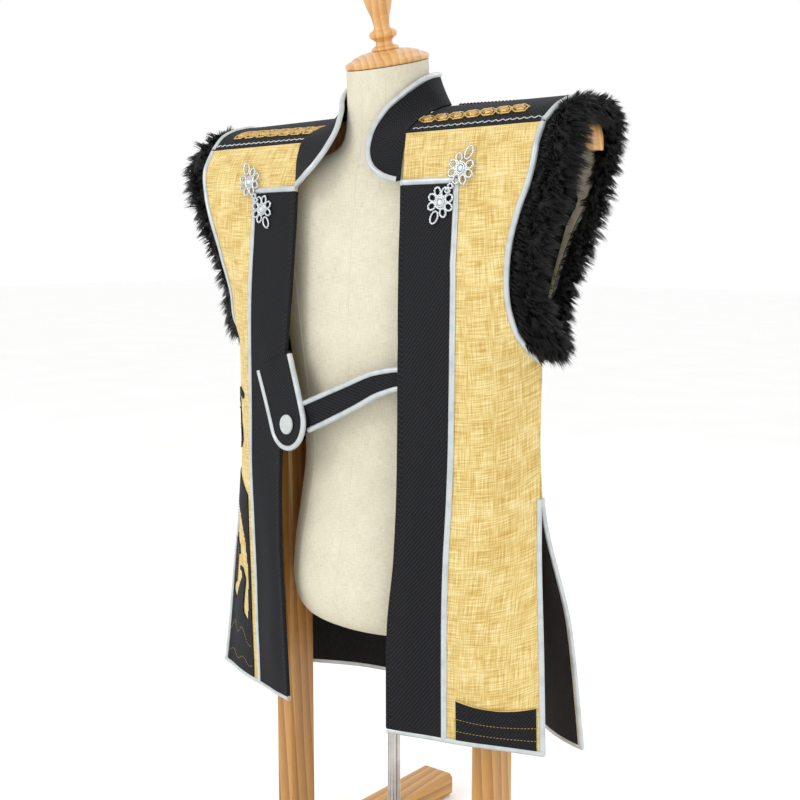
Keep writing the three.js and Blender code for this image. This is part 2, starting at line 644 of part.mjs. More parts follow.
const half = TAB_WIDTH / 2;
const tabRound = TAB_LENGTH - half;
const TAB_ALONG = [0, 22, 42, 60, 78, tabRound, ...[22, 42, 60, 76].map((a) => tabRound + half * Math.sin(radians(a)))];
const tabHalf = (along) => (along <= tabRound ? half : Math.sqrt(half ** 2 - (along - tabRound) ** 2));
const tabLayer = (out) => TAB_ALONG.map((along) => steps(-1, 1, 6).map((a) => tabPoint(a * tabHalf(along), along, out)));
put(coat, "tab", slab(tabLayer(0), tabLayer(STRAP)), "black");

const TAB_PATH = [
  ...[14, 42, 68].map((along) => ({ across: -half, along, angle: 180 })),
  ...steps(180, 360, 12).map((angle) => ({
    across: half * Math.cos(radians(angle)), along: tabRound - half * Math.sin(radians(angle)), angle,
  })),
  ...[68, 42, 14].map((along) => ({ across: half, along, angle: 0 })),
];
const tabTrim = (heights) => TAB_PATH.map(({ across, along, angle }) =>
  [0.8, -BINDING / 2, -BINDING].map((far, i) =>
    tabPoint(across + far * Math.cos(radians(angle)), along - far * Math.sin(radians(angle)), STRAP + GAP + heights[i])),
);
put(coat, "binding_tab", slab(tabTrim([0, 0, 0]), tabTrim([BINDING_EDGE, BINDING_MIDDLE, BINDING_EDGE])), "silver");

// A flat piece on a front with a round or lobed outline: a ring of places about a middle one.
function medallion(placeAt, radiusAt, count, low, high, crown) {
  const ring = (out, scale) => steps(0, 360, count).slice(0, count).map((a) => placeAt(
    scale * radiusAt(a) * Math.cos(radians(a)), scale * radiusAt(a) * Math.sin(radians(a)), out,
  ));
  return loft([ring(low, 1), ring(high, 1), ring(high + crown, 0.8)]);
}

const onTab = (u, w, out) => tabPoint(u, BUTTON.along + w, STRAP + GAP + out);
put(coat, "button", medallion(onTab, () => BUTTON.radius, 24, 0, BUTTON.thick - 1, 1), "button");

for (const side of SIDES) {
  for (const flower of FLOWERS) {
    const front = fronts[sideName(side)];
    const placeAt = (u, w, out) => {
      const drop = flower.drop + w;
      const x = flower.x + u;
      const [open, band, edge] = ["openX", "bandX", "sideX"].map((name) => column(FRONT, "drop", name, drop));
      return front.at(x < band ? (x - open) / (band - open) : 1 + (x - band) / (edge - band), drop, out);
    };
    const lobes = (a) => flower.radius * (1 + 0.14 * Math.cos(radians(a * flower.loops)));
    const top = flower.base + flower.thick;
    put(coat, `frog_${flower.name}_${sideName(side)}`, medallion(placeAt, lobes, 28, flower.base, top, 1), "silver", 0.9);
  }
}

// ---- dress form ----
const sectionPoint = (row, a) => {
  const [cos, sin] = [Math.cos(radians(a)), Math.sin(radians(a))];
  const reach = (value, half) => half * Math.sign(value) * Math.abs(value) ** (2 / row.square);
  const back = reach(sin, row.halfY);
  return v3(FORM_X + reach(cos, row.halfX), row.y + back, SHOULDER - row.drop + back * Math.tan(radians(row.lean)));
};
const around = (count) => steps(0, 360, count).slice(0, count);
put(display, "form", loft(FORM.map((row) => around(26).map((a) => sectionPoint(row, a)))), "linen");

const NECK = { y: -9, z: SHOULDER + 100, lean: 14 };
const leaning = (geometry) => {
  const atOrigin = geometry.translate(-FORM_X, -NECK.y, -NECK.z);
  return atOrigin.rotateX(radians(NECK.lean)).translate(FORM_X, NECK.y, NECK.z);
};
const CAP = [[53, 0.5], [56, 2.5], [56, 7], [46, 12.5], [33, 17], [22, 19]];
const FINIAL = [
  [18, 19.4], [18, 22], [12, 26], [11, 30], [18, 37], [18.5, 41], [12, 46], [10.5, 50],
  [12, 60], [17, 76], [20.5, 94], [18, 108], [9, 119], [2, 122],
];
const aboveNeck = (profile) => profile.map(([radius, z]) => [radius, z + NECK.z]);
put(display, "neck_cap", leaning(turned(FORM_X, NECK.y, aboveNeck(CAP), 26)), "wood");
put(display, "finial", leaning(turned(FORM_X, NECK.y, aboveNeck(FINIAL), 14)), "wood");

// The wooden arms that carry the coat's wide shoulders, rounded down at their outer ends.
const ARM_TOP = [[ARM.inner, 37.2], [266, 37.6], [280, 29], [291, 15], [300, 0]];
for (const side of SIDES) {
  const rings = ARM_TOP.map(([across, top]) => {
    const [x, r] = [across + (across === ARM.inner ? FORM_X * side : 0), ARM.round];
    const [low, high] = [SHOULDER + ARM.low, SHOULDER + top + ROLL * x * side];
    return [
      [ARM.front + 2, low], [ARM.back - 2, low], [ARM.back, low + 2], [ARM.back, high - r],
      [ARM.back - 0.35 * r, high - 0.35 * r], [ARM.back - r, high], [ARM.front + r, high],
      [ARM.front + 0.35 * r, high - 0.35 * r], [ARM.front, high - r], [ARM.front, low + 2],
    ].map(([y, z]) => v3(x * side, y, z));
  });
  put(display, `arm_${sideName(side)}`, loft(rings), "pine");
}

put(display, "pole", turned(0, 0, [[POLE.radius, POLE.foot], [POLE.radius, SHOULDER - 658.5]], 18), "steel", 0.9);
const BASE_PROFILE = [[BASE, 0], [BASE, 5], [BASE - 4, 8], [40, 11], [22, 17], [17, 28], [15, 44]];
put(display, "base", turned(0, 0, BASE_PROFILE, 32), "steel", 0.9);

// ---- wooden frame ----
for (const side of SIDES) {
  const x = POST.middle + side * POST.x;
  const name = sideName(side);
  const [wide, foot] = [POST.width / 2, x + side * FOOT.out];
  put(display, `post_${name}`, bar(v3(x - wide, POST.front, FOOT.high + GAP), v3(x + wide, POST.back, POST.top), "z", 4), "pine");
  put(display, `foot_${name}`, bar(v3(foot - FOOT.width / 2, FOOT.front, 0), v3(foot + FOOT.width / 2, FOOT.back, FOOT.high), "y", 6), "pine");
}
const inside = POST.x - POST.width / 2 - GAP;
put(display, "rail", bar(v3(POST.middle - inside, RAIL.front, RAIL.low), v3(POST.middle + inside, RAIL.back, RAIL.high), "x", 2.5), "pine");

const root = new THREE.Group();
root.add(coat, display);
export default root;
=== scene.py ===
"""A jinbaori on a dress form and a low wooden frame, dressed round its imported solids.

Tables are in millimetres: x to the wearer's left, y to the back, z up. A drop is a distance down from the
shoulder line. A cloth surface has two places on it, across and down, and pieces lie at a height out from it.
"""

import json
import logging
import math
from collections.abc import Callable, Sequence
from dataclasses import dataclass, field
from enum import Enum

import bpy
import numpy as np
from mathutils import Matrix, Vector, kdtree

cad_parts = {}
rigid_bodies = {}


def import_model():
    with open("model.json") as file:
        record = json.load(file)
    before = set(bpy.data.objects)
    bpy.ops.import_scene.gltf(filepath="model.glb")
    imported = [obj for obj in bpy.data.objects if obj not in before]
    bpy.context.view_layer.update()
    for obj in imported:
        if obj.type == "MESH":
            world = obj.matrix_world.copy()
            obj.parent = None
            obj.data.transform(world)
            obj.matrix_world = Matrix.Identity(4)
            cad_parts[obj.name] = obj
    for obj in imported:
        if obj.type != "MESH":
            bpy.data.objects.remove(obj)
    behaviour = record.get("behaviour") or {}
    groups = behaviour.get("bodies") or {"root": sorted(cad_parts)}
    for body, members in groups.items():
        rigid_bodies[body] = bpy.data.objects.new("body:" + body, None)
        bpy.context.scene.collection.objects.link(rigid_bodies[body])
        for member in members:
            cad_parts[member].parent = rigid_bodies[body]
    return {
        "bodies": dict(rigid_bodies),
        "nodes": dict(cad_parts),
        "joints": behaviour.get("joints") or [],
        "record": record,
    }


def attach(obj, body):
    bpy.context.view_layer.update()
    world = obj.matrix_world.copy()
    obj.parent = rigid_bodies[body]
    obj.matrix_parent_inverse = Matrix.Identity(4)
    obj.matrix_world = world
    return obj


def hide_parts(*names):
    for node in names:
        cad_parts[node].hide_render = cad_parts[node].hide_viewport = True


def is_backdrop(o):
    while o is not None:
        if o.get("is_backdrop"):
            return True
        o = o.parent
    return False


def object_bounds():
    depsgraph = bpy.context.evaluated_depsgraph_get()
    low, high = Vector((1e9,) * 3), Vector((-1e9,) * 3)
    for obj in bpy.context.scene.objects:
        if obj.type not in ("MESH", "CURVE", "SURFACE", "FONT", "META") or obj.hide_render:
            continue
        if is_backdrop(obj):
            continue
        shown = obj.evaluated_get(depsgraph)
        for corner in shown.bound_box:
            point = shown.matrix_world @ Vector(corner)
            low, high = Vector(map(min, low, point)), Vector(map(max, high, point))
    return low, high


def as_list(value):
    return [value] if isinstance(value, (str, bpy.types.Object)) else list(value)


LOG = logging.getLogger("jinbaori")
MM = 0.001
SEED = 41

SHOULDER = 1120.0  # height of the shoulder line above the floor
HEM = 767.0  # drops, from here to BAND_TOP
BACK_HEM = 788.0
UNDERARM = 280.0
VENT = 452.0
BAND_TOP = 66.0
BAND_SHARE = 0.89  # where the black band ends on the front, across
ROLL = 0.02  # the wearer's right shoulder hangs lower by this slope
SWING = 12.0  # the wearer's right skirt swings in at the hem
GAP = 0.3  # between two layers
PANEL = 2.0  # walls, from here to STRAP
LINING = 1.2
BAND = 1.8
APPLIQUE = 1.4
COLLAR = 2.4
STRAP = 2.2
BINDING = 7.0  # a binding's width
ON_PANEL = PANEL + GAP  # heights over the cloth's own surface, of what lies on it
ON_BAND = ON_PANEL + BAND + GAP
ON_APPLIQUE = ON_PANEL + APPLIQUE
GRIP = 0.05  # how far a binding's fold stands off the cloth
THREAD = 0.42  # half the thickness of a stitching thread
STITCH = 0.36  # half a stitch's length, as a share of the way to the next
TWIST = 2.6  # how fast a cord's strands turn round it
YOKE_NECK = 78.0  # where a shoulder piece begins, its width, and its length in one unit down
YOKE_WIDE = 211.0
YOKE_STEP = 33.0
LEFT, RIGHT = 1, -1
SIDES = {LEFT: "left", RIGHT: "right"}

Array = np.ndarray
Piece = bpy.types.Object
Socket = bpy.types.NodeSocket
Place = Callable[[Array, Array], Array]


# ---- numbers ----
class Table:
    """Rows of sizes under named columns, read on smooth curves along the first column."""

    def __init__(self, columns: str, rows: Sequence[Sequence[float]]) -> None:
        """Keeps the rows. Args: columns: names parted by spaces. rows: one value a column."""
        self.names = columns.split()
        self.rows = np.array(rows, float)

    def __call__(self, name: str, at: Array) -> Array:
        """Reads one column.

        Args:
            name: the column.
            at: places along the first column.

        Returns:
            The column's values there, on a curve that turns only at the rows.
        """
        key, value = self.rows[:, 0], self.rows[:, self.names.index(name)]
        rise = np.diff(value) / np.diff(key)
        before, beyond = np.append(rise[:1], rise), np.append(rise, rise[-1:])
        both, total = before * beyond, before + beyond
        slope = np.where(both > 0, 2 * both / np.where(total == 0, 1, total), 0)
        at = np.asarray(at, float)
        i = np.clip(np.searchsorted(key, at, side="right") - 1, 0, len(key) - 2)
        span = key[i + 1] - key[i]
        t = np.clip((at - key[i]) / span, 0, 1)
        t2, t3 = t * t, t * t * t
        ends = (2 * t3 - 3 * t2 + 1) * value[i] + (3 * t2 - 2 * t3) * value[i + 1]
        return ends + (t3 - 2 * t2 + t) * span * slope[i] + (t3 - t2) * span * slope[i + 1]


FRONT = Table("drop openX openY bandX bandY sideX sideY turn", [
    [0, 80, -72, 178, -70, 281, -67, 2],
    [30, 86, -84, 178, -83, 281, -83, 3],
    [65, 90, -93, 177, -89, 275, -87, 4],
    [100, 91, -95, 178, -91, 262, -90, 6],
    [150, 92, -99, 178, -94.5, 246, -86, 20],
    [205, 94, -103, 179, -97.5, 238, -74, 36],
    [240, 96, -106, 179, -98.5, 243, -64, 46],
    [262, 97, -107, 179, -99, 249, -46, 54],
    [UNDERARM, 98, -109, 179, -99, 252, -24.2, 62],
    [370, 101, -114, 178, -99, 251, -24.2, 64],
    [VENT, 102.5, -118, 176, -101, 255, -25.6, 62],
    [530, 100.5, -121, 172.5, -102, 264, -36, 46],
    [630, 92, -125, 170, -100, 276, -47, 30],
    [HEM, 88, -122, 170, -99, 290, -61, 18],
])

BACK = Table("drop backY backZ midX midY midZ sideX sideY sideZ turn", [
    [-44, 76.5, 41, 64, 58.5, 42.5, 288, 59, 34.5, 0],
    [0, 106, 2, 96, 92, 2, 282, 64, 2, -8],
    [30, 114, -30, 110, 101, -30, 276, 67, -30, -14],
    [83, 121, -83, 116, 108, -83, 264, 68, -83, -24],
    [124, 122, -124, 116, 110, -124, 247, 60, -124, -36],
    [187, 120, -187, 116, 106, -187, 233, 42, -187, -50],
    [240, 117, -240, 116, 100, -240, 243, 4, -240, -51],
    [UNDERARM, 115, -280, 115, 96, -280, 252, -23.2, -280, -50],
    [370, 113, -370, 112, 94, -370, 251, -23.2, -370, -50],
    [VENT, 117, -452, 115, 96, -452, 255, -22.4, -452, -50],
    [630, 134, -638, 128, 104, -634, 284, 6, -630, -24],
    [BACK_HEM, 148, -802, 132, 112, -797, 292, 28, -788, -10],
])

YOKE = Table("at neckX neckY neckZ tipX tipY tipZ", [
    [0, 80.5, -72.2, 0.6, 281, -67.2, 0.6],
    [1, 79.5, -46, 16.5, 286, -42, 21],
    [2, 77, -10, 31.5, 290, -8, 33],
    [3, 74, 24, 40.5, 291, 25, 38],
    [4, 66.5, 56.5, 43.6, 289, 59, 36],
])

STAND_HALF = [
    [0, 88.8, -96, -59, 84, -100, -60],
    [1, 87.3, -93, -47, 72, -108, -56],
    [2, 84.3, -87, -33, 56, -111, -46],
    [3, 81.3, -80, -18, 43, -106, -32],
    [4, 78.8, -71, 0, 34, -95, -13],
    [5, 77.3, -54, 13, 30, -80, 10],
    [6, 75.8, -32, 24, 36, -62, 36],
    [7, 73.8, -8, 34, 51, -42, 58],
    [8, 70.8, 18, 42, 61, -15, 76],
    [9, 60.4, 46.2, 46, 58, 12, 84],
    [10, 41.5, 63.8, 46, 46, 37, 88],
    [11, 20.6, 72.1, 45, 25, 51, 90],
    [12, 0, 75.7, 44, 0, 55, 91],
]
SEAM_OUT = [0, 3, 9, 15, 18, 16, 10, 5, 0, 0, 0, 0, 0]  # the wearer's right seam lies further out by this
SEAM_FORE = [0, 0.5, 2.5, 3.5, 4.5, 5, 1, 0, 0, 0, 0, 0, 0]  # and further forward
STAND = Table("at seamX seamY seamZ freeX freeY freeZ", [
    [RIGHT * (12 - r[0]), RIGHT * (r[1] + out), r[2] - fore, r[3], RIGHT * r[4], r[5], r[6]]
    for r, out, fore in zip(STAND_HALF[:-1], SEAM_OUT, SEAM_FORE)
] + [[12 - r[0], *r[1:]] for r in STAND_HALF[::-1]])

FORM = Table("drop y halfX halfY square lean", [
    [-100, -9, 55, 54, 2, 14],
    [-62, -7, 55.5, 55, 2, 8],
    [-20, -6, 58, 56, 2, 2],
    [2, -6, 66, 57, 2, 0],
    [13, -5, 84, 60, 2, 0],
    [21, -4, 124, 63, 2, 0],
    [27, -2, 176, 67, 2, 0],
    [40, -1, 212, 72, 2.1, 0],
    [62, 0, 232, 76, 2.2, 0],
    [90, 1, 240, 80, 2.2, 0],
    [120, 1, 232, 84, 2.1, 0],
    [150, 1, 216, 87, 2, 0],
    [185, 1, 199, 90, 2, 0],
    [225, 0, 184, 92, 2, 0],
    [270, 0, 172, 93, 2, 0],
    [327, 0, 158, 92, 2, 0],
    [380, 0, 146, 88, 2, 0],
    [425, 0, 142, 86, 2, 0],
    [490, 0, 147, 97, 2, 0],
    [555, 0, 152, 114, 2, 0],
    [598, 0, 153, 120, 2, 0],
    [628, 0, 149, 115, 2, 0],
    [648, 0, 138, 104, 2, 0],
    [658, 0, 120, 86, 2, 0],
])
FORM_X = -3.0
FORM_TOP, FORM_FOOT = -100.0, 658.0

FUR = np.array([  # x, y, height from the shoulder line and radius of the roll, round an armhole
    [300, -44, 9, 15], [305, -64, -13, 19], [306, -70, -43, 19], [297, -71, -74, 18], [281, -71, -110, 17],
    [265, -66, -150, 16], [256, -55, -192, 16], [261, -44, -226, 17], [270, -30, -252, 18],
    [266, -10, -258, 14], [256, 12, -234, 11], [247, 34, -198, 11], [254, 49, -158, 12.5],
    [264, 60, -120, 13.5],
    [276, 66, -78, 13], [287, 65, -34, 13], [294, 62, -4, 13], [299, 54, 13, 12], [304, 30, 21, 12],
    [304, 2, 21, 13], [301, -24, 20, 14],
])

STRAP_LINE = Table("at x y z half", [
    [0, -84, -119.6, -378, 20],
    [1, -45, -118.8, -362, 20],
    [2, 15, -114.5, -335, 18.5],
    [3, 63, -110, -313, 16],
    [4, 98, -105.6, -305, 14],
    [5, 140, -99.3, -303, 13.5],
])


def unit(v: Array) -> Array:
    """Vectors at length one. Args: v: vectors in the last axis. Returns: the same, of length one."""
    return v / np.maximum(np.linalg.norm(v, axis=-1, keepdims=True), 1e-12)


def rising(value: Array, low: float, high: float) -> Array:
    """A smooth step. Args: value: numbers. low, high: its ends. Returns: 0 below low, to 1 above high."""
    t = np.clip((value - low) / (high - low), 0, 1)
    return t * t * (3 - 2 * t)


def xyz(x: Array, y: Array, z: Array) -> Array:
    """Points from three coordinates. Args: x, y, z: numbers. Returns: points in the last axis."""
    return np.stack(np.broadcast_arrays(x, y, z), -1).astype(float)


def heading(degrees: Array) -> Array:
    """A level direction. Args: degrees: turned from straight across. Returns: unit vectors."""
    turn = np.radians(degrees)
    return xyz(np.cos(turn), np.sin(turn), 0.0)


def bend(a: Array, b: Array, leave: Array, reach: Array, t: Array) -> Array:
    """Points on curves that leave and arrive in given ways.

    Args:
        a, b: where they start and end.
        leave, reach: unit vectors along them, there.
        t: the share of the way.

    Returns:
        The points.
    """
    pull = np.linalg.norm(b - a, axis=-1, keepdims=True) / 3
    near, far = a + leave * pull, b - reach * pull
    t = np.asarray(t)[..., None]
    s = 1 - t
    return s**3 * a + 3 * s * s * t * near + 3 * s * t * t * far + t**3 * b


def run_length(path: Array) -> Array:
    """How far along a line each of its points lies. Args: path: the points. Returns: millimetres."""
    return np.append(0, np.cumsum(np.linalg.norm(np.diff(path, axis=0), axis=1)))


def once_round(share: Array) -> Array:
    """Shares of a turn, with the last brought back to the first. Args: share: them. Returns: them."""
    return np.where(share > 0.999, 0, share)


def lap(count: int) -> Array:
    """Even steps once round. Args: count: how many. Returns: angles."""
    return np.linspace(0, 2 * math.pi, count + 1)[:-1]


@dataclass(frozen=True)
class Fold:
    """A soft ridge in a hanging cloth: its middle, its two half lengths, its lean and its height."""

    across: float
    drop: float
    long: float
    wide: float
    lean: float
    high: float
    scale: float = 80.0  # millimetres in one unit across

    def relief(self, a: Array, d: Array) -> Array:
        """Its height at places on the cloth. Args: a, d: across and down. Returns: millimetres out."""
        turn = math.radians(self.lean)
        x, y = (a - self.across) * self.scale, d - self.drop
        along = x * math.sin(turn) + y * math.cos(turn)
        aside = x * math.cos(turn) - y * math.sin(turn)
        return self.high * np.exp(-((along / self.long) ** 2) - (aside / self.wide) ** 2)


@dataclass
class Surface:
    """A curved surface with two places on it; facing is roughly the way its shown side looks."""

    place: Place
    across: tuple[float, float]
    down: tuple[float, float]
    facing: tuple[float, float, float]
    relief: Place | None = None
    settled: bool = True
    sign: float = 1.0

    def __post_init__(self) -> None:
        """Finds which way out is."""
        a, d = (low + 0.4 * (high - low) for low, high in (self.across, self.down))
        out = self.normal(np.array([a]), np.array([d]))[0]
        self.sign = 1.0 if np.dot(out, self.facing) > 0 else -1.0

    def nudge(self, a: Array, d: Array, da: float, dd: float) -> Array:
        """Steps over the surface. Args: a, d: places. da, dd: a way. Returns: a small step that way."""
        ea, ed = ((high - low) * 0.002 for low, high in (self.across, self.down))
        a0, a1 = (np.clip(a + k * da * ea, *self.across) for k in (-1, 1))
        d0, d1 = (np.clip(d + k * dd * ed, *self.down) for k in (-1, 1))
        return self.place(a1, d1) - self.place(a0, d0)

    def normal(self, a: Array, d: Array) -> Array:
        """The way out at places. Args: a, d: across and down. Returns: unit vectors."""
        return self.sign * unit(np.cross(self.nudge(a, d, 1, 0), self.nudge(a, d, 0, 1)))

    def at(self, a: Array, d: Array, out: Array = 0.0) -> Array:
        """Points on or over the surface. Args: a, d: places. out: height over it. Returns: points."""
        a, d = np.broadcast_arrays(np.asarray(a, float), np.asarray(d, float))
        high = np.asarray(out, float) + (self.relief(a, d) if self.relief else 0.0)
        points = self.place(a, d) + self.normal(a, d) * np.broadcast_to(high, a.shape)[..., None]
        if self.settled:
            share = rising(points[..., 2], SHOULDER - UNDERARM, SHOULDER)
            points[..., 2] += ROLL * points[..., 0] * share
        return points

    def beside(self, a: float, d: Array, distance: float) -> Array:
        """Places across from others. Args: a, d: those. distance: millimetres. Returns: across."""
        d = np.asarray(d, float)
        a = np.full_like(d, a)
        back = np.where(a > self.across[0] + 0.05, a - 0.05, a + 0.05)
        step = np.linalg.norm(self.at(a, d) - self.at(back, d), axis=-1) / 0.05
        return a + distance / step

    def lengths(self, a: Array, d: Array) -> Array:
        """The cloth's own flat places. Args: a, d: places. Returns: metres along threads, both ways."""
        spans = [k / 12 for k in range(13)]
        a0, d0 = self.across[0], self.down[0]
        rows = np.stack([self.place(a0 + (a - a0) * k, d) for k in spans])
        columns = np.stack([self.place(a, d0 + (d - d0) * k) for k in spans])
        run = [np.linalg.norm(np.diff(p, axis=0), axis=-1).sum(0) for p in (rows, columns)]
        return np.stack(run, -1) * MM


# ---- meshes ----
def deselect() -> None:
    """Nothing stays selected, so that an operator acts on the new piece alone."""
    if bpy.context.mode != "OBJECT":
        bpy.ops.object.mode_set(mode="OBJECT")
    bpy.ops.object.select_all(action="DESELECT")


def choose(piece: Piece) -> None:
    """Selects a piece alone and makes it active. Args: piece: it."""
    deselect()
    bpy.context.view_layer.objects.active = piece
    piece.select_set(True)


def in_edit(piece: Piece, *steps: Callable[[], object]) -> None:
    """Runs edit-mode operators on a whole piece. Args: piece: it. steps: calls in order."""
    choose(piece)
    bpy.ops.object.mode_set(mode="EDIT")
    bpy.ops.mesh.select_all(action="SELECT")
    for step in steps:
        step()
    bpy.ops.object.mode_set(mode="OBJECT")


def modified(piece: Piece, kind: str, **settings: object) -> None:
    """Adds a modifier and applies it. Args: piece: it. kind: the type. settings: its properties."""
    choose(piece)
    modifier = piece.modifiers.new(kind.lower(), kind)
    for key, value in settings.items():
        setattr(modifier, key, value)
    bpy.ops.object.modifier_apply(modifier=modifier.name)


def smooth(piece: Piece, degrees: float = 40) -> None:
    """Shades a piece smooth. Args: piece: it. degrees: the angle past which an edge stays sharp."""
    choose(piece)
    bpy.ops.object.shade_smooth_by_angle(angle=math.radians(degrees))


def raw_piece(name: str, points: Array, faces: list[list[int]]) -> Piece:
    """Adds a mesh as it is. Args: name. points: in millimetres. faces: corners. Returns: the object."""
    mesh = bpy.data.meshes.new(name)
    mesh.from_pydata((points * MM).tolist(), [], faces)
    piece = bpy.data.objects.new(name, mesh)
    bpy.context.scene.collection.objects.link(piece)
    return piece


def grid_piece(name: str, counts: tuple[int, int], place: Place, flat: Place | None = None
               ) -> Piece:
    """Adds a grid and lays its corners out.

    Args:
        name: the piece's name.
        counts: faces each way.
        place: gives points in millimetres for two shares from 0 to 1.
        flat: gives flat places in metres for the same shares, which become the UV map.

    Returns:
        The new object, at the origin.
    """
    deselect()
    bpy.ops.mesh.primitive_grid_add(x_subdivisions=counts[0], y_subdivisions=counts[1], size=2)
    piece = bpy.context.object
    piece.name = piece.data.name = name
    mesh = piece.data
    co = np.empty(len(mesh.vertices) * 3)
    mesh.vertices.foreach_get("co", co)
    s, t = (co.reshape(-1, 3)[:, k] / 2 + 0.5 for k in (0, 1))
    mesh.vertices.foreach_set("co", (place(s, t) * MM).ravel())
    corner = np.empty(len(mesh.loops), np.int32)
    mesh.loops.foreach_get("vertex_index", corner)
    uv = flat(s, t) if flat else np.stack([s, t], -1)
    mesh.uv_layers[0].data.foreach_set("uv", uv[corner].astype(np.float32).ravel())
    mesh.update()
    return piece


def closed(piece: Piece) -> Piece:
    """Merges a wrapped grid's meeting edges and turns its faces out. Args: piece: it. Returns: it."""
    in_edit(
        piece,
        lambda: bpy.ops.mesh.remove_doubles(threshold=2e-6),
        lambda: bpy.ops.mesh.normals_make_consistent(inside=False),
    )
    smooth(piece, 50)
    return piece


def lie_out(piece: Piece, surface: Surface, a: Array, d: Array) -> None:
    """Turns a laid sheet's faces the way its surface faces.

    Args:
        piece: the sheet.
        surface: what it lies on.
        a, d: the sheet's middle there.
    """
    a, d = np.array([a]), np.array([d])
    centres = np.array([p.center for p in piece.data.polygons])
    near = int(np.argmin(np.linalg.norm(centres - surface.at(a, d)[0] * MM, axis=1)))
    if np.dot(piece.data.polygons[near].normal, surface.normal(a, d)[0]) < 0:
        in_edit(piece, bpy.ops.mesh.flip_normals)


@dataclass(frozen=True)
class Cut:
    """The part of a surface that a sheet covers, its wall, how high it lies and how fine its mesh is."""

    across: tuple[float, float]
    down: tuple[float, float]
    base: float
    thick: float
    counts: tuple[int, int]

    def lay(self, name: str, surface: Surface, edge: Callable[[Array], Array] | None = None
            ) -> Piece:
        """Makes the sheet.

        Args:
            name: the piece's name.
            surface: what it lies on.
            edge: gives a drop for each place across, for a sheet whose upper edge is a curve.

        Returns:
            A closed thin piece whose UV map is the cloth's own.
        """
        def places(s: Array, t: Array) -> tuple[Array, Array]:
            """Places on the surface for two shares."""
            a = self.across[0] + s * (self.across[1] - self.across[0])
            top = edge(a) if edge else self.down[0]
            return a, top + t * (self.down[1] - top)

        piece = grid_piece(
            name, self.counts,
            lambda s, t: surface.at(*places(s, t), self.base + self.thick),
            lambda s, t: surface.lengths(*places(s, t)),
        )
        middle = places(np.array([0.5]), np.array([0.5]))
        lie_out(piece, surface, middle[0][0], middle[1][0])
        modified(piece, "SOLIDIFY", thickness=self.thick * MM, offset=-1)
        smooth(piece)
        return piece


@dataclass(frozen=True)
class Cord:
    """A cord: half its thickness, the faces round it and how deep its twist shows, 0 for a plain one."""

    radius: float
    sides: int
    ply: float = 0.0


CHAIN = Cord(1.05, 7, 0.22)
LOOP = Cord(1.35, 7, 0.2)  # a flower's loops, its knot and its loose end
KNOT = Cord(1.3, 7, 0.2)
TENDRIL = Cord(1.2, 7, 0.2)
GOLD_EDGE = Cord(0.75, 6, 0.2)
ZIGZAG = Cord(0.8, 6)
GIMP = Cord(1.1, 6)


@dataclass
class Heap:
    """Points and faces of many small shapes, gathered into one piece."""

    points: list[Array] = field(default_factory=list)
    faces: list[Array] = field(default_factory=list)
    total: int = 0

    def add(self, points: Array, faces: Array) -> None:
        """Adds one shape. Args: points: in millimetres. faces: corners of each face."""
        self.points.append(points)
        self.faces.append(faces + self.total)
        self.total += len(points)

    def tube(self, path: Array, normals: Array, cord: Cord, loop: bool = True) -> None:
        """Adds a cord.

        Args:
            path: its middle line.
            normals: the way up from what it lies on.
            cord: its make.
            loop: whether it closes on itself.
        """
        count, sides = len(path), cord.sides
        if loop:
            along = unit(np.roll(path, -1, 0) - np.roll(path, 1, 0))
        else:
            along = unit(np.gradient(path, axis=0))
        aside = unit(np.cross(along, normals))
        turn = np.arange(sides) * 2 * math.pi / sides
        lay = run_length(path)[:, None] * TWIST / cord.radius
        size = cord.radius * (1 + cord.ply * np.cos(2 * turn[None, :] - lay))
        if not loop:
            size[[0, -1]] *= 0.05  # the ends are drawn to a point
        ring = aside[:, None] * np.cos(turn)[None, :, None] + normals[:, None] * np.sin(turn)[None, :, None]
        points = path[:, None] + ring * size[..., None]
        last = count if loop else count - 1
        i, k = np.meshgrid(np.arange(last), np.arange(sides), indexing="ij")
        j, m = (i + 1) % count, (k + 1) % sides
        faces = np.stack([i * sides + k, j * sides + k, j * sides + m, i * sides + m], -1).reshape(-1, 4)
        self.add(points.reshape(-1, 3), faces)

    def piece(self, name: str) -> Piece:
        """Makes the piece. Args: name: its name. Returns: the new object, its faces turned out."""
        made = raw_piece(name, np.concatenate(self.points), [f for part in self.faces for f in part.tolist()])
        in_edit(made, lambda: bpy.ops.mesh.normals_make_consistent(inside=False))
        smooth(made, 60)
        return made


def template(kind: Callable[..., object], **sizes: object) -> tuple[Array, Array]:
    """Models a shape once, to be copied.

    Args:
        kind: the primitive's operator.
        sizes: its settings.

    Returns:
        Its points and triangles.
    """
    deselect()
    kind(**sizes)
    shape = bpy.context.object
    in_edit(shape, bpy.ops.mesh.quads_convert_to_tris)
    points = np.array([v.co for v in shape.data.vertices])
    faces = np.array([p.vertices for p in shape.data.polygons])
    bpy.data.meshes.remove(shape.data)
    return points, faces


def along_path(path: Array, pitch: float) -> tuple[Array, Array]:
    """Even places on a line. Args: path: points. pitch: the distance. Returns: points and ways along."""
    run = run_length(path)
    places = np.arange(0.5 * pitch, run[-1], pitch)

    def at(far: Array) -> Array:
        """Points at distances along the line."""
        return np.stack([np.interp(far, run, path[:, k]) for k in range(3)], -1)

    return at(places), unit(at(places + 0.5) - at(places - 0.5))


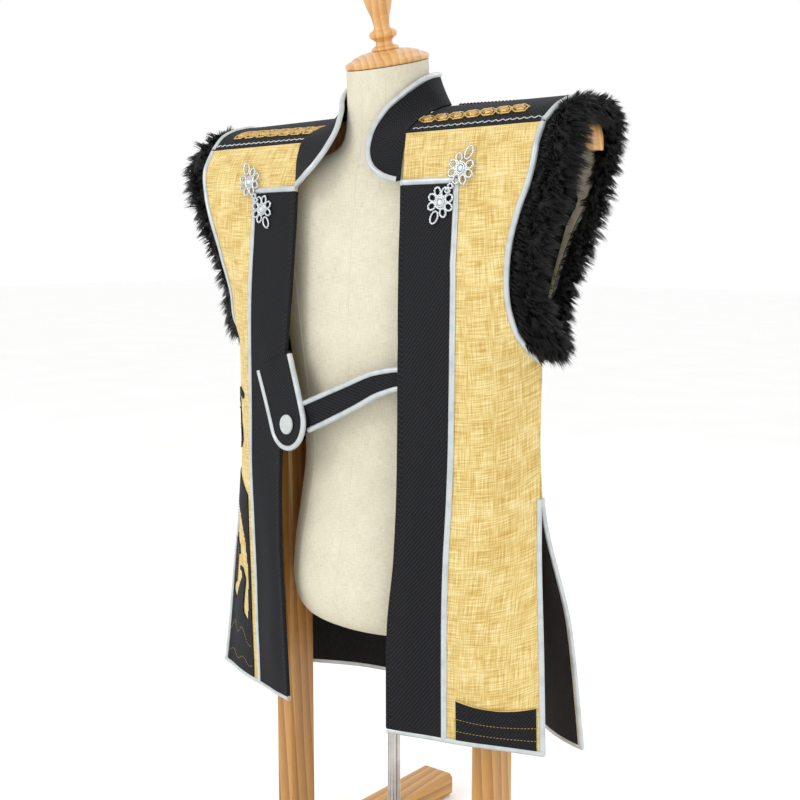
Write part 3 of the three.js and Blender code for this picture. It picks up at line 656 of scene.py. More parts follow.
def swept(name: str, edge: Array, over: Array, out: Array, section: Array) -> Piece:
    """An outline carried along a line, with both ends closed.

    Args:
        name: the piece's name.
        edge: the line's points.
        over, out: unit vectors there, inward over the cloth and up from it.
        section: the outline, as distances inward and out.

    Returns:
        The closed piece, with metres along and round it as its UV map.
    """
    middle, run = section.mean(0), run_length(edge)
    rows, sides = len(edge), len(section)

    def row(t: Array) -> Array:
        """The line's point for a share of the way."""
        return np.clip(np.rint(t * (rows + 1)).astype(int) - 1, 0, rows - 1)

    def place(s: Array, t: Array) -> Array:
        """The outline's corners, drawn in to its middle at both ends."""
        j, i = np.rint(t * (rows + 1)).astype(int), row(t)
        cap = (j == 0) | (j == rows + 1)
        far = np.where(cap[:, None], middle, section[np.rint(s * sides).astype(int) % sides])
        return edge[i] + over[i] * far[:, :1] + out[i] * far[:, 1:]

    def flat(s: Array, t: Array) -> Array:
        """Metres round it and along it."""
        return np.stack([s * 0.02, run[row(t)] * MM], -1)

    return closed(grid_piece(name, (sides, rows + 1), place, flat))


def strip(name: str, surface: Surface, path: tuple[Array, Array], inward: tuple[float, float] | Array,
          section: Array, base: float) -> Piece:
    """A binding along a line on a surface.

    Args:
        name: the piece's name.
        surface: what it lies on.
        path: places across and down of the edge that it covers.
        inward: the way from that edge over the cloth, across and down, one for all or one a place.
        section: its outline, as distances inward and out.
        base: the height that the outline is measured from.

    Returns:
        The closed piece, with metres along and round it as its UV map.
    """
    a, d = (np.asarray(x, float) for x in path)
    edge, out = surface.at(a, d, base), surface.normal(a, d)
    ways = np.broadcast_to(np.asarray(inward, float), (len(a), 2))
    over = np.stack([surface.nudge(a[[i]], d[[i]], *ways[i])[0] for i in range(len(a))])
    along = unit(np.gradient(edge, axis=0))
    over = unit(over - along * (over * along).sum(-1, keepdims=True))
    return swept(name, edge, over, out, section)


def rounded(corners: Sequence[tuple[float, float]], cuts: int = 2) -> Array:
    """An outline with its corners cut off. Args: corners: in order. cuts: how often. Returns: its points."""
    ring = np.array(corners, float)
    for _ in range(cuts):
        ahead = np.roll(ring, -1, 0)
        ring = np.stack([0.75 * ring + 0.25 * ahead, 0.25 * ring + 0.75 * ahead], 1).reshape(-1, 2)
    return ring


def wrapped(thick: float) -> Array:
    """A binding folded round a raw edge. Args: thick: the cloth's wall. Returns: its outline."""
    under = -thick
    return rounded([
        (5.6, 0.1), (5.0, 1.6), (2.6, 3.1), (0.0, 2.4), (-1.6, 0.4), (-1.6, under - 0.6), (0.4, under - 1.5),
        (4.6, under - 1.2), (4.6, under - 0.2), (-0.4, under - 0.2), (-0.4, 0.12), (2.8, 0.12),
    ], 1)


def bound(name: str, surface: Surface, path: tuple[Array, Array], inward: tuple[float, float], thick: float
          ) -> Piece:
    """A binding folded round a raw edge. Args: as for strip. thick: the cloth's wall. Returns: the piece."""
    return strip(name, surface, path, inward, wrapped(thick), thick + GRIP)


FACING = rounded([
    (7.0, 4.12), (6.5, 4.6), (0.6, 4.7), (-0.9, 4.5), (-1.2, 3.4), (-1.2, -0.4), (-0.8, -0.9), (26, -0.9),
    (26, -0.3), (-0.3, -0.25), (-0.3, 4.12),
])
TAPE = rounded([(-0.5, -1.7), (26.0, -1.7), (26.0, -2.6), (-0.5, -2.6)])
SEAM_ROLL = rounded([(-0.9, 0.0), (-0.7, 2.0), (1.2, 3.3), (4.4, 3.3), (6.8, 1.6), (7.2, 0.0)])
FORM_SEAM = rounded([(-0.9, -0.2), (-0.6, 0.35), (0.6, 0.35), (0.9, -0.2)])


# ---- finishes ----
def linear(colour: str) -> tuple[float, float, float, float]:
    """A colour for a socket. Args: colour: sRGB hex. Returns: linear red, green, blue and 1."""
    parts = [int(colour.lstrip("#")[k:k + 2], 16) / 255 for k in (0, 2, 4)]
    return (*(c / 12.92 if c <= 0.04045 else ((c + 0.055) / 1.055) ** 2.4 for c in parts), 1.0)


ONE_BAND = math.pi / 10  # the scale at which a wave pattern has one band a repeat


class Coords(Enum):
    """What a pattern is laid out by."""

    CLOTH = "UV"
    SOLID = "Object"


class Recipe:
    """A material under way."""

    def __init__(self, name: str) -> None:
        """Starts it with a bare shader. Args: name: the material's name."""
        self.material = bpy.data.materials.new(name)
        self.material.use_nodes = True
        self.tree = self.material.node_tree
        self.shader = self.tree.nodes["Principled BSDF"]

    def add(self, kind: str, inputs: dict | None = None, **settings: object) -> bpy.types.Node:
        """Adds a node.

        Args:
            kind: its type, without ShaderNode.
            inputs: a value or another node's output for each input, by name or number.
            settings: its properties.

        Returns:
            The node.
        """
        node = self.tree.nodes.new("ShaderNode" + kind)
        for key, value in settings.items():
            setattr(node, key, value)
        self.join(node, inputs or {})
        return node

    def out(self, kind: str, inputs: dict | None = None, **settings: object) -> Socket:
        """Adds a node. Args: as for add. Returns: its first output."""
        return self.add(kind, inputs, **settings).outputs[0]

    def join(self, node: bpy.types.Node, inputs: dict) -> None:
        """Sets or links a node's inputs. Args: node: it. inputs: by name or number."""
        for key, value in inputs.items():
            if isinstance(value, Socket):
                self.tree.links.new(value, node.inputs[key])
            else:
                node.inputs[key].default_value = value

    def ramp(self, fac: Socket, stops: Sequence[tuple[float, str]]) -> Socket:
        """Colours for a number. Args: fac: it. stops: places and sRGB colours. Returns: the colour."""
        node = self.add("ValToRGB", {0: fac})
        elements = node.color_ramp.elements
        while len(elements) < len(stops):
            elements.new(0.5)
        for element, (place, colour) in zip(elements, stops):
            element.position, element.color = place, linear(colour)
        return node.outputs[0]

    def coords(self, kind: Coords, scale: tuple[float, float, float], turn: float = 0.0) -> Socket:
        """Where a pattern lies. Args: kind: what it follows. scale: repeats a metre. turn. Returns: it."""
        source = self.add("TexCoord").outputs[kind.value]
        return self.add("Mapping", {"Vector": source, "Scale": scale, "Rotation": (0, 0, math.radians(turn))},
                        vector_type="POINT").outputs[0]

    def bump(self, height: Socket, depth: float, under: Socket | None = None
             ) -> Socket:
        """Relief. Args: height: 0 to 1. depth: in metres. under: relief below it. Returns: the normal."""
        inputs = {"Height": height, "Distance": depth, "Strength": 1.0}
        if under:
            inputs["Normal"] = under
        return self.add("Bump", inputs).outputs[0]

    def surface(self, **inputs: object) -> bpy.types.Material:
        """Sets the shader's inputs. Args: inputs: by name, with _ for a space. Returns: the material."""
        self.join(self.shader, {key.replace("_", " "): value for key, value in inputs.items()})
        return self.material


@dataclass(frozen=True)
class SlubLinen:
    """Plain-woven cloth of uneven yarn: thick and thin stretches run both ways as pale and dark dashes."""

    name: str
    pale: str
    middle: str
    dark: str
    yarn: float  # millimetres from thread to thread, as drawn
    slub: float  # length of a thick stretch, in millimetres
    contrast: float
    depth: float  # relief, in millimetres
    sheen: float = 0.15

    def make(self) -> bpy.types.Material:
        """Builds the material. Returns: it."""
        r = Recipe(self.name)
        one, many = 1000 / self.yarn, 1000 / self.slub
        ways = [
            r.out("TexNoise", {"Vector": r.coords(Coords.CLOTH, scale), "Scale": 1.0, "Detail": 2.0,
                               "Roughness": 0.65}, noise_dimensions="2D")
            for scale in ((one, many, 1), (many, one, 1))
        ]
        cross = r.out("Math", {0: ways[0], 1: ways[1]}, operation="ADD")
        patch = r.out("TexNoise", {"Vector": r.coords(Coords.CLOTH, (26, 26, 1)), "Scale": 1.0,
                                   "Detail": 4.0}, noise_dimensions="2D")  # uneven dye, in patches of about 38 mm
        mixed = r.out("Math", {0: patch, 1: 0.35, 2: cross}, operation="MULTIPLY_ADD")
        middle, spread = 1.175, 0.5 / self.contrast  # of the mixed pattern's values
        fac = r.out("MapRange", {0: mixed, 1: middle - spread, 2: middle + spread})
        colour = r.ramp(fac, [(0.12, self.dark), (0.5, self.middle), (0.86, self.pale)])
        threads = [
            r.add("TexWave", {"Vector": r.coords(Coords.CLOTH, (one, one, 1)), "Scale": ONE_BAND,
                              "Distortion": 0.6, "Detail": 1.0}, bands_direction=way).outputs[1]
            for way in ("X", "Y")
        ]
        weave = r.out("Math", {0: threads[0], 1: threads[1]}, operation="MULTIPLY")
        normal = r.bump(weave, self.depth * 0.5 * MM, r.bump(cross, self.depth * MM))
        return r.surface(Base_Color=colour, Roughness=0.82, Sheen_Weight=self.sheen, Sheen_Roughness=0.5,
                         Specular_IOR_Level=0.25, Normal=normal)


@dataclass(frozen=True)
class Twill:
    """Twill: fine slanting ribs that catch a little light on their upper edges."""

    name: str
    rib: str
    groove: str
    pitch: float  # millimetres from rib to rib, as drawn
    depth: float

    def make(self) -> bpy.types.Material:
        """Builds the material. Returns: it."""
        r = Recipe(self.name)
        ribs = r.coords(Coords.CLOTH, (1000 / self.pitch,) * 2 + (1,), 52)  # drawn coarser than real, to show
        wave = r.add("TexWave", {"Vector": ribs, "Scale": ONE_BAND, "Distortion": 1.2, "Detail": 2.0,
                                 "Detail Scale": 1.6}, bands_direction="X").outputs[1]
        step = r.coords(Coords.CLOTH, (1000 / self.pitch / 1.5,) * 2 + (1,), -38)
        cross = r.add("TexWave", {"Vector": step, "Scale": ONE_BAND, "Distortion": 0.8}, bands_direction="X")
        knots = r.out("Math", {0: wave, 1: cross.outputs[1]}, operation="MULTIPLY")
        lint = r.out("TexNoise", {"Vector": r.coords(Coords.CLOTH, (420, 420, 1)), "Scale": 1.0,
                                  "Detail": 3.0}, noise_dimensions="2D")
        faint = r.out("Math", {0: lint, 1: 0.35}, operation="MULTIPLY")
        mixed = r.out("Math", {0: knots, 1: 0.75, 2: faint}, operation="MULTIPLY_ADD")
        colour = r.ramp(mixed, [(0.1, self.groove), (0.85, self.rib)])
        return r.surface(Base_Color=colour, Roughness=0.78, Sheen_Weight=0.04, Sheen_Roughness=0.45,
                         Sheen_Tint=linear("#aab0c0"), Specular_IOR_Level=0.22,
                         Normal=r.bump(mixed, self.depth * MM))


@dataclass(frozen=True)
class Satin:
    """Satin bias binding: smooth floats that gleam along the fold, drawn in a little at each stitch."""

    name: str
    colour: str
    shade: str

    def make(self) -> bpy.types.Material:
        """Builds the material. Returns: it."""
        r = Recipe(self.name)
        puckers = r.out("TexNoise", {"Vector": r.coords(Coords.CLOTH, (40, 60, 1)), "Scale": 1.0,
                                     "Detail": 1.0}, noise_dimensions="2D")
        floats = r.out("TexNoise", {"Vector": r.coords(Coords.CLOTH, (1400, 90, 1)), "Scale": 1.0},
                       noise_dimensions="2D")
        colour = r.ramp(puckers, [(0.25, self.shade), (0.55, self.colour)])
        normal = r.bump(floats, 0.03 * MM, r.bump(puckers, 0.25 * MM))
        return r.surface(Base_Color=colour, Roughness=0.3, Specular_IOR_Level=0.6, Metallic=0.25,
                         Coat_Weight=0.15, Coat_Roughness=0.3, Normal=normal)


@dataclass(frozen=True)
class Hair:
    """Dyed long-haired fur: near black, with a cool gleam along each hair."""

    name: str
    root: str
    tip: str
    rough: float

    def make(self) -> bpy.types.Material:
        """Builds the material. Returns: it."""
        r = Recipe(self.name)
        tuft = r.out("TexNoise", {"Vector": r.coords(Coords.SOLID, (90, 90, 60)), "Scale": 1.0,
                                  "Detail": 3.0})
        fine = r.out("TexNoise", {"Vector": r.coords(Coords.SOLID, (700, 700, 250)), "Scale": 1.0})
        colour = r.ramp(tuft, [(0.35, self.root), (0.7, self.tip)])
        return r.surface(Base_Color=colour, Roughness=self.rough, Specular_IOR_Level=0.45,
                         Normal=r.bump(fine, 0.3 * MM))


@dataclass(frozen=True)
class Timber:
    """Planed and varnished wood: long grain lines round a core, a few darker streaks and a rare knot."""

    name: str
    pale: str
    middle: str
    dark: str
    ring: float  # millimetres between grain lines
    stretch: tuple[float, float, float]  # the grain's own run, as shares of its width each way
    gloss: float
    knots: float = 0.0

    def make(self) -> bpy.types.Material:
        """Builds the material. Returns: it."""
        r = Recipe(self.name)
        repeat = tuple(1000 / self.ring * k for k in self.stretch)
        wander = r.out("TexNoise", {"Vector": r.coords(Coords.SOLID, tuple(22 * k for k in self.stretch)),
                                    "Scale": 1.0, "Detail": 2.0})
        grain = r.add("TexWave", {"Vector": r.coords(Coords.SOLID, repeat), "Scale": ONE_BAND,
                                  "Distortion": 5.0, "Detail": 3.0, "Detail Scale": 0.35,
                                  "Detail Roughness": 0.6},
                      bands_direction="DIAGONAL", wave_profile="SAW").outputs[1]
        pores = r.out("TexNoise", {"Vector": r.coords(Coords.SOLID, tuple(900 * k for k in self.stretch)),
                                   "Scale": 1.0, "Detail": 2.0})
        faint = r.out("Math", {0: pores, 1: 0.5}, operation="MULTIPLY")
        fac = r.out("Math", {0: grain, 1: 0.55, 2: faint}, operation="MULTIPLY_ADD")
        fac = r.out("Math", {0: fac, 1: 0.28}, operation="SUBTRACT")
        fac = r.out("Math", {0: wander, 1: 0.6, 2: fac}, operation="MULTIPLY_ADD")
        if self.knots:
            spots = r.out("TexVoronoi", {"Vector": r.coords(Coords.SOLID, (7, 7, 3.1)), "Scale": 1.0,
                                         "Randomness": 1.0}, feature="F1")
            knot = r.out("MapRange", {0: spots, 1: self.knots, 2: self.knots * 0.45, 3: 0.0, 4: 0.75})
            fac = r.out("Math", {0: fac, 1: knot}, operation="ADD")
        colour = r.ramp(fac, [(0.15, self.pale), (0.5, self.middle), (1.0, self.dark)])
        return r.surface(Base_Color=colour, Roughness=0.42, Specular_IOR_Level=0.45, Coat_Weight=self.gloss,
                         Coat_Roughness=0.22, Normal=r.bump(pores, 0.08 * MM))


@dataclass(frozen=True)
class Metal:
    """Metal or metal-wrapped thread: its grain shows as fine marks that break up the gleam."""

    name: str
    bright: str
    dull: str
    rough: float
    marks: float  # millimetres between marks
    metallic: float = 1.0
    depth: float = 0.03

    def make(self) -> bpy.types.Material:
        """Builds the material. Returns: it."""
        r = Recipe(self.name)
        marks = r.out("TexNoise", {"Vector": r.coords(Coords.SOLID, (1000 / self.marks,) * 3), "Scale": 1.0,
                                   "Detail": 2.0})
        colour = r.ramp(marks, [(0.3, self.dull), (0.62, self.bright)])
        rough = r.out("MapRange", {0: marks, 3: self.rough * 0.8, 4: self.rough * 1.25})
        return r.surface(Base_Color=colour, Metallic=self.metallic, Roughness=rough,
                         Normal=r.bump(marks, self.depth * MM))


@dataclass(frozen=True)
class Gloss:
    """Moulded plastic, painted board or cut glass: one colour with a slight unevenness."""

    name: str
    colour: str
    other: str
    rough: float
    coat: float = 0.0
    size: float = 8.0

    def make(self) -> bpy.types.Material:
        """Builds the material. Returns: it."""
        r = Recipe(self.name)
        cloudy = r.out("TexNoise", {"Vector": r.coords(Coords.SOLID, (1000 / self.size,) * 3), "Scale": 1.0,
                                    "Detail": 3.0})
        colour = r.ramp(cloudy, [(0.3, self.colour), (0.7, self.other)])
        return r.surface(Base_Color=colour, Roughness=self.rough, Coat_Weight=self.coat,
                         Normal=r.bump(cloudy, 0.05 * MM))


FINISHES = {
    "gold": SlubLinen("slub_linen_gold", "#ecdaa4", "#d8be75", "#be984f", 1.4, 32, 1.3, 0.25),
    "linen": SlubLinen("form_linen_natural", "#e5decb", "#dad4be", "#cac3ab", 0.7, 12, 1.1, 0.1, 0.06),
    "black": Twill("cotton_twill_black", "#292a2f", "#060607", 2.6, 0.3),
    "lining": SlubLinen("lining_plain_black", "#1b1b1e", "#0c0c0e", "#060607", 1.4, 7, 1.2, 0.1, 0.05),
    "silver": Satin("satin_binding_silver", "#c4cacb", "#b4bbbd"),
    "fur": Hair("long_fur_black", "#010102", "#07080a", 0.3),
    "fleece": Hair("fur_ground_black", "#020202", "#060607", 0.8),
    "pine": Timber("pine_varnished", "#d09f5b", "#bd8944", "#915c28", 9, (1, 1, 0.06), 0.25, 0.085),
    "foot": Timber("pine_varnished_lying", "#d09f5b", "#bd8944", "#915c28", 9, (1, 0.06, 1), 0.25, 0.08),
    "rail": Timber("pine_varnished_cross", "#d09f5b", "#bd8944", "#915c28", 9, (0.06, 1, 1), 0.25),
    "wood": Timber("beech_turned_honey", "#e6b97e", "#daa766", "#bb8142", 7, (1, 1, 0.25), 0.45),
    "chrome": Metal("steel_tube_chromed", "#c9c7c3", "#a9a6a1", 0.16, 30, depth=0.01),
    "cast": Metal("steel_base_brushed", "#9b9a97", "#7c7a77", 0.34, 0.8),
    "tape": SlubLinen("cotton_tape_cream", "#fdfbf0", "#f8f5e6", "#ece8d6", 0.6, 6, 0.8, 0.05, 0.03),
    "braid": Metal("silver_cord_wrapped", "#e8ecee", "#8b9296", 0.26, 0.5, 0.88, 0.08),
    "glass": Gloss("cut_glass_clear", "#e9f0f4", "#c2ccd4", 0.06, 1.0, 2),
    "gold_cord": Metal("gold_thread_couched", "#efcf85", "#a67c36", 0.34, 0.7, 0.65, 0.1),
    "bronze": Metal("gold_thread_satin_stitch", "#e3bf78", "#7d5726", 0.38, 1.3, 0.6, 0.12),
    "gold_stitch": Gloss("gold_thread_plain", "#cba55a", "#94722f", 0.5, 0.0, 1.2),
    "black_lace": Gloss("black_gimp", "#131316", "#26272c", 0.6, 0.0, 1.5),
    "button": Gloss("button_resin_pearl_grey", "#b4bcb9", "#c3cac7", 0.32, 0.4, 6),
    "floor": Gloss("floor_painted_white", "#fefefe", "#fbfbfa", 0.8, 0.0, 400),
}


class Wardrobe:
    """The finishes once made, and the bookkeeping of each piece."""

    def __init__(self) -> None:
        """Makes every finish once."""
        self.materials = {key: finish.make() for key, finish in FINISHES.items()}

    def dress(self, piece: Piece, finish: str, slot: str, *nodes: str) -> Piece:
        """Gives a piece its finish and body, hides the solids that it stands for and logs it.

        Args:
            piece: the new piece.
            finish: the key of its finish.
            slot: not used.
            nodes: the solids that it stands for.

        Returns:
            The piece.
        """
        self.paint(piece, finish)
        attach(piece, "root")
        if nodes:
            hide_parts(*nodes)
        LOG.info("%s: %d faces, %s", piece.name, len(piece.data.polygons), finish)
        return piece

    def paint(self, piece: Piece, finish: str) -> None:
        """Gives a piece one finish. Args: piece: it. finish: the key of its finish."""
        piece.data.materials.clear()
        piece.data.materials.append(self.materials[finish])

    def finish_node(self, node: Piece, finish: str) -> None:
        """Gives a solid that stays a better finish. Args: node: its object. finish: the key of its finish."""
        self.paint(node, finish)
        LOG.info("%s: %s", node.name, finish)


# ---- the coat's surfaces ----
def smoothed_edge(a: Array, d: Array) -> Array:
    """How freely a front can stir. Args: a, d: places. Returns: 0 at its sewn edges, to 1 away from them."""
    return rising(d, 14, 70) * (1 - rising(a, 1.55, 1.95)) * rising(a, -0.2, 0.4)


def front_surface(side: int, folds: Sequence[Fold]) -> Surface:
    """A front: across is 0 at the open edge, 1 where the band ends and 2 at the outer edge.

    Args:
        side: which one.
        folds: its ridges.

    Returns:
        Its surface.
    """
    swing = SWING if side == RIGHT else 0.0

    def place(a: Array, d: Array) -> Array:
        """Points of the smooth cloth."""
        z = SHOULDER - d
        open_edge = xyz(FRONT("openX", d), FRONT("openY", d), z)
        band = xyz(FRONT("bandX", d), FRONT("bandY", d), z)
        outer = xyz(FRONT("sideX", d) - swing * rising(d, VENT + 60, HEM), FRONT("sideY", d), z)
        over = open_edge + (band - open_edge) * np.asarray(a)[..., None]
        beyond = bend(band, outer, unit(band - open_edge), heading(FRONT("turn", d)), np.asarray(a) - 1)
        points = np.where((np.asarray(a) <= 1)[..., None], over, beyond)
        return points * (side, 1, 1)

    def relief(a: Array, d: Array) -> Array:
        """Soft waves, most in the skirt, and the folds."""
        waves = 0.9 * np.sin(a * 4.1 + d / 83 + side) * np.sin(d / 61 + a) + 0.9
        skirt = 1.6 * rising(d, 430, 700) * (1 + np.sin(a * 6.2 + 0.6 * side))
        total = waves + skirt + sum(fold.relief(a, d) for fold in folds)
        return total * smoothed_edge(a, d) * (1 - 0.65 * rising(d, HEM - 90, HEM - 10))

    return Surface(place, (0, 2), (0, HEM), (0.5 * side, -1, 0), relief)


def back_place(a: Array, d: Array) -> Array:
    """The back: across is 0 in the middle and -1 or 1 at the sides. Args: a, d: places. Returns: points."""
    share, side = np.abs(a), np.where(np.asarray(a) < 0, -1.0, 1.0)
    middle = xyz(0.0, BACK("backY", d), SHOULDER + BACK("backZ", d))
    part = xyz(BACK("midX", d), BACK("midY", d), SHOULDER + BACK("midZ", d))
    outer = xyz(BACK("sideX", d), BACK("sideY", d), SHOULDER + BACK("sideZ", d))
    level = unit((outer - middle) * (1, 1, 0))
    through = unit(level + (heading(0.0) - level) * 0.35)
    near = bend(middle, part, heading(np.zeros_like(share)), through, share / 0.45)
    far = bend(part, outer, through, heading(BACK("turn", d)), (share - 0.45) / 0.55)
    points = np.where((share < 0.45)[..., None], near, far)
    points[..., 0] *= side
    return points


def back_relief(a: Array, d: Array) -> Array:
    """Soft waves in the back, most in the skirt. Args: a, d: places. Returns: millimetres out."""
    free = rising(d, 30, 160) * (1 - rising(np.abs(a), 0.75, 0.96)) * (1 - 0.6 * rising(d, 700, 780))
    skirt = 3.2 * rising(d, 380, 690) * (1 + np.cos(a * 11.5))
    return free * (1.0 + np.sin(a * 5 + d / 90) * np.sin(d / 70) + skirt)


def yoke_surface(side: int) -> Surface:
    """A shoulder piece: across from neck to armhole, down from front to back. Args: side. Returns: it."""
    def place(a: Array, at: Array) -> Array:
        """Points between the neck's line and the armhole's."""
        neck = xyz(YOKE("neckX", at), YOKE("neckY", at), SHOULDER + YOKE("neckZ", at))
        tip = xyz(YOKE("tipX", at), YOKE("tipY", at), SHOULDER + YOKE("tipZ", at))
        return (neck + (tip - neck) * np.asarray(a)[..., None]) * (side, 1, 1)

    return Surface(place, (0, 1), (0, 4), (0, -0.4, 1))


def stand_place(a: Array, share: Array) -> Array:
    """The collar: across round the neck, down from seam to free edge. Args: a, share. Returns: points."""
    seam = xyz(STAND("seamX", a), STAND("seamY", a), SHOULDER + STAND("seamZ", a))
    free = xyz(STAND("freeX", a), STAND("freeY", a), SHOULDER + STAND("freeZ", a))
    return seam + (free - seam) * np.asarray(share)[..., None]


def strap_place(a: Array, at: Array) -> Array:
    """The strap: across its width and along its length. Args: a, at: places. Returns: points."""
    step = [STRAP_LINE(n, at + 0.1) - STRAP_LINE(n, at - 0.1) for n in ("x", "z")]
    level = unit(xyz(-step[1], 0.0, step[0])) * (STRAP_LINE("half", at) * a)[..., None]
    return xyz(STRAP_LINE("x", at), STRAP_LINE("y", at), SHOULDER + STRAP_LINE("z", at)) + level


def form_place(turn: Array, drop: Array) -> Array:
    """The form: across once round it, from the wearer's left forwards. Args: turn, drop. Returns: points."""
    cos, sin = np.cos(turn * 2 * math.pi), -np.sin(turn * 2 * math.pi)
    power = 2 / FORM("square", drop)
    back = FORM("halfY", drop) * np.sign(sin) * np.abs(sin) ** power
    x = FORM("halfX", drop) * np.sign(cos) * np.abs(cos) ** power
    lean = np.tan(np.radians(FORM("lean", drop)))
    return xyz(FORM_X + x, FORM("y", drop) + back, SHOULDER - drop + back * lean)


# ---- the coat ----
@dataclass
class Fronts:
    """The two fronts: gold cloth, black bands, silver bindings, the black border and the cut cloud."""

    dresser: Wardrobe
    border_high: float = 58.0
    border_ends: tuple[float, float] = (1.09, 1.925)
    sag: float = 8.0
    stitches: tuple = ((33, 4), (17, 2))  # rows over the left hem: height and sag
    surfaces: dict[int, Surface] = field(default_factory=dict)
    laid: dict[int, list[Piece]] = field(default_factory=lambda: {LEFT: [], RIGHT: []})
    sheets: dict[int, tuple[Piece, Piece]] = field(default_factory=dict)

    def __post_init__(self) -> None:
        """Makes both surfaces, each with its own folds."""
        left = [
            Fold(1.24, 188, 40, 8, 42, 2.6), Fold(1.36, 226, 34, 9, 48, 2.0),
            Fold(0.45, 352, 16, 26, 82, 1.8), Fold(1.45, 520, 120, 14, -4, 1.8),
            Fold(1.2, 640, 90, 12, 6, 1.5), Fold(0.3, 560, 100, 16, 3, 1.6),
        ]
        right = [
            Fold(1.3, 210, 50, 9, 30, 1.8), Fold(0.4, 300, 18, 24, 80, 1.4), Fold(1.5, 560, 120, 13, 4, 1.6),
        ]
        self.surfaces = {LEFT: front_surface(LEFT, left), RIGHT: front_surface(RIGHT, right)}

    def keep(self, side: int, piece: Piece) -> Piece:
        """Notes a piece that lies on a front. Args: side, piece. Returns: the piece."""
        self.laid[side].append(piece)
        return piece

    def build(self) -> None:
        """Builds both fronts."""
        for side, name in SIDES.items():
            front, dress = self.surfaces[side], self.dresser.dress
            cloth = Cut((0, 2), (0, HEM), 0, PANEL, (60, 130)).lay(f"gold_front_{name}", front)
            dress(cloth, "gold", "gold_cloth", f"front_{name}")
            band = Cut((0, BAND_SHARE), (BAND_TOP, HEM - 5), ON_PANEL, BAND, (18, 130))
            band = band.lay(f"twill_band_{name}", front)
            self.keep(side, dress(band, "black", "black_cloth", f"band_{name}"))
            long = np.linspace(BAND_TOP, HEM - 6, 120)
            facing = strip(f"twill_facing_{name}", front, (np.zeros(120), long), (1, 0), FACING, 0)
            self.keep(side, dress(facing, "black", "black_cloth"))
            self.bind(side, name)
            self.sheets[side] = (cloth, band)

    def bind(self, side: int, name: str) -> None:
        """Adds a front's silver bindings. Args: side, name: the side and its name."""
        front = self.surfaces[side]
        long = np.linspace(BAND_TOP - BINDING + 1.5, HEM - 1.5, 120)
        arm = np.linspace(1, UNDERARM - 1, 70)
        slit = np.linspace(VENT, HEM - 1, 60)
        hem = np.linspace(0, 2, 70)
        top = np.linspace(0, BAND_SHARE + 0.05, 24)
        fold = wrapped(PANEL), PANEL + GRIP
        lines = {
            f"binding_band_{name}": (front.beside(BAND_SHARE, long, 1.1), long, (1, 0), SEAM_ROLL, ON_PANEL),
            f"binding_top_{name}": (top, np.full(24, BAND_TOP - BINDING), (0, 1), SEAM_ROLL, ON_PANEL),
            f"binding_armhole_{name}": (np.full(70, 2.0), arm, (-1, 0), *fold),
            f"binding_vent_{name}": (np.full(60, 2.0), slit, (-1, 0), *fold),
            f"binding_hem_{name}": (hem, np.full(70, HEM), (0, -1), *fold),
        }
        for node, (a, d, inward, section, base) in lines.items():
            piece = strip(node.replace("binding", "piping"), front, (a, d), inward, section, base)
            self.keep(side, self.dresser.dress(piece, "silver", "silver_binding", node))

    def border(self) -> None:
        """Adds the black border at the wearer's left hem, its gold edge and its two lines of stitches."""
        front, ends = self.surfaces[LEFT], self.border_ends

        def top(a: Array) -> Array:
            """The border's sagging upper edge."""
            share = np.clip((a - ends[0]) / (ends[1] - ends[0]), 0, 1)
            return HEM - self.border_high + self.sag * np.sin(math.pi * share)

        cut = Cut(ends, (0, HEM - 5), ON_PANEL, APPLIQUE, (40, 18))
        cloth = cut.lay("twill_border_left", front, top)
        self.keep(LEFT, self.dresser.dress(cloth, "black", "black_cloth", "border_left"))
        across = np.linspace(*ends, 60)
        rows = [HEM - high + bow * np.sin(math.pi * (across - ends[0]) / 0.83) for high, bow in self.stitches]
        for piece in border_trims(self.dresser, "left", front, across, top(across), rows, 4.4):
            self.keep(LEFT, piece)

    def declare(self) -> None:
        """Gathers, for each front, the pieces that lie on it besides its band, once all of them are there;
        nothing more is done with them.
        """
        for side, (cloth, band) in self.sheets.items():
            extras = [p for p in self.laid[side] if p is not band]


def border_trims(dresser: Wardrobe, name: str, surface: Surface, across: Array, top: Array,
                 rows: Sequence[Array], pitch: float) -> list[Piece]:
    """A border's gold edge and its rows of running stitch.

    Args:
        dresser: the finishes.
        name: the border's name.
        surface: what it lies on.
        across: places along it.
        top: the drops of its upper edge there.
        rows: the drops of each row there.
        pitch: from stitch to stitch, in millimetres.

    Returns:
        Both pieces.
    """
    heap = Heap()
    heap.tube(surface.at(across, top, ON_APPLIQUE), surface.normal(across, top), GOLD_EDGE, loop=False)
    edge = dresser.dress(heap.piece(f"gold_edge_border_{name}"), "gold_cord", "gold_cloth")
    lines = [surface.at(across, row, ON_APPLIQUE) for row in rows]
    stitches = running_stitch(f"stitch_border_{name}", lines, pitch)
    return [edge, dresser.dress(stitches, "gold_stitch", "gold_cloth")]


def running_stitch(name: str, lines: Sequence[Array], pitch: float) -> Piece:
    """Rows of short thread stitches.

    Args:
        name: the piece's name.
        lines: the lines that they follow.
        pitch: from stitch to stitch, in millimetres.

    Returns:
        One piece with all of them.
    """
    points, faces = template(bpy.ops.mesh.primitive_uv_sphere_add, segments=6, ring_count=4, radius=1)
    heap = Heap()
    for line in lines:
        places, ways = along_path(line, pitch)
        for place, way in zip(places, ways):
            aside = unit(np.cross(way, (0.31, 0.2, 0.93)))  # any way that no stitch takes
            frame = np.stack([aside * THREAD, np.cross(way, aside) * THREAD, way * pitch * STITCH])
            heap.add(place + points @ frame, faces)
    return heap.piece(name)


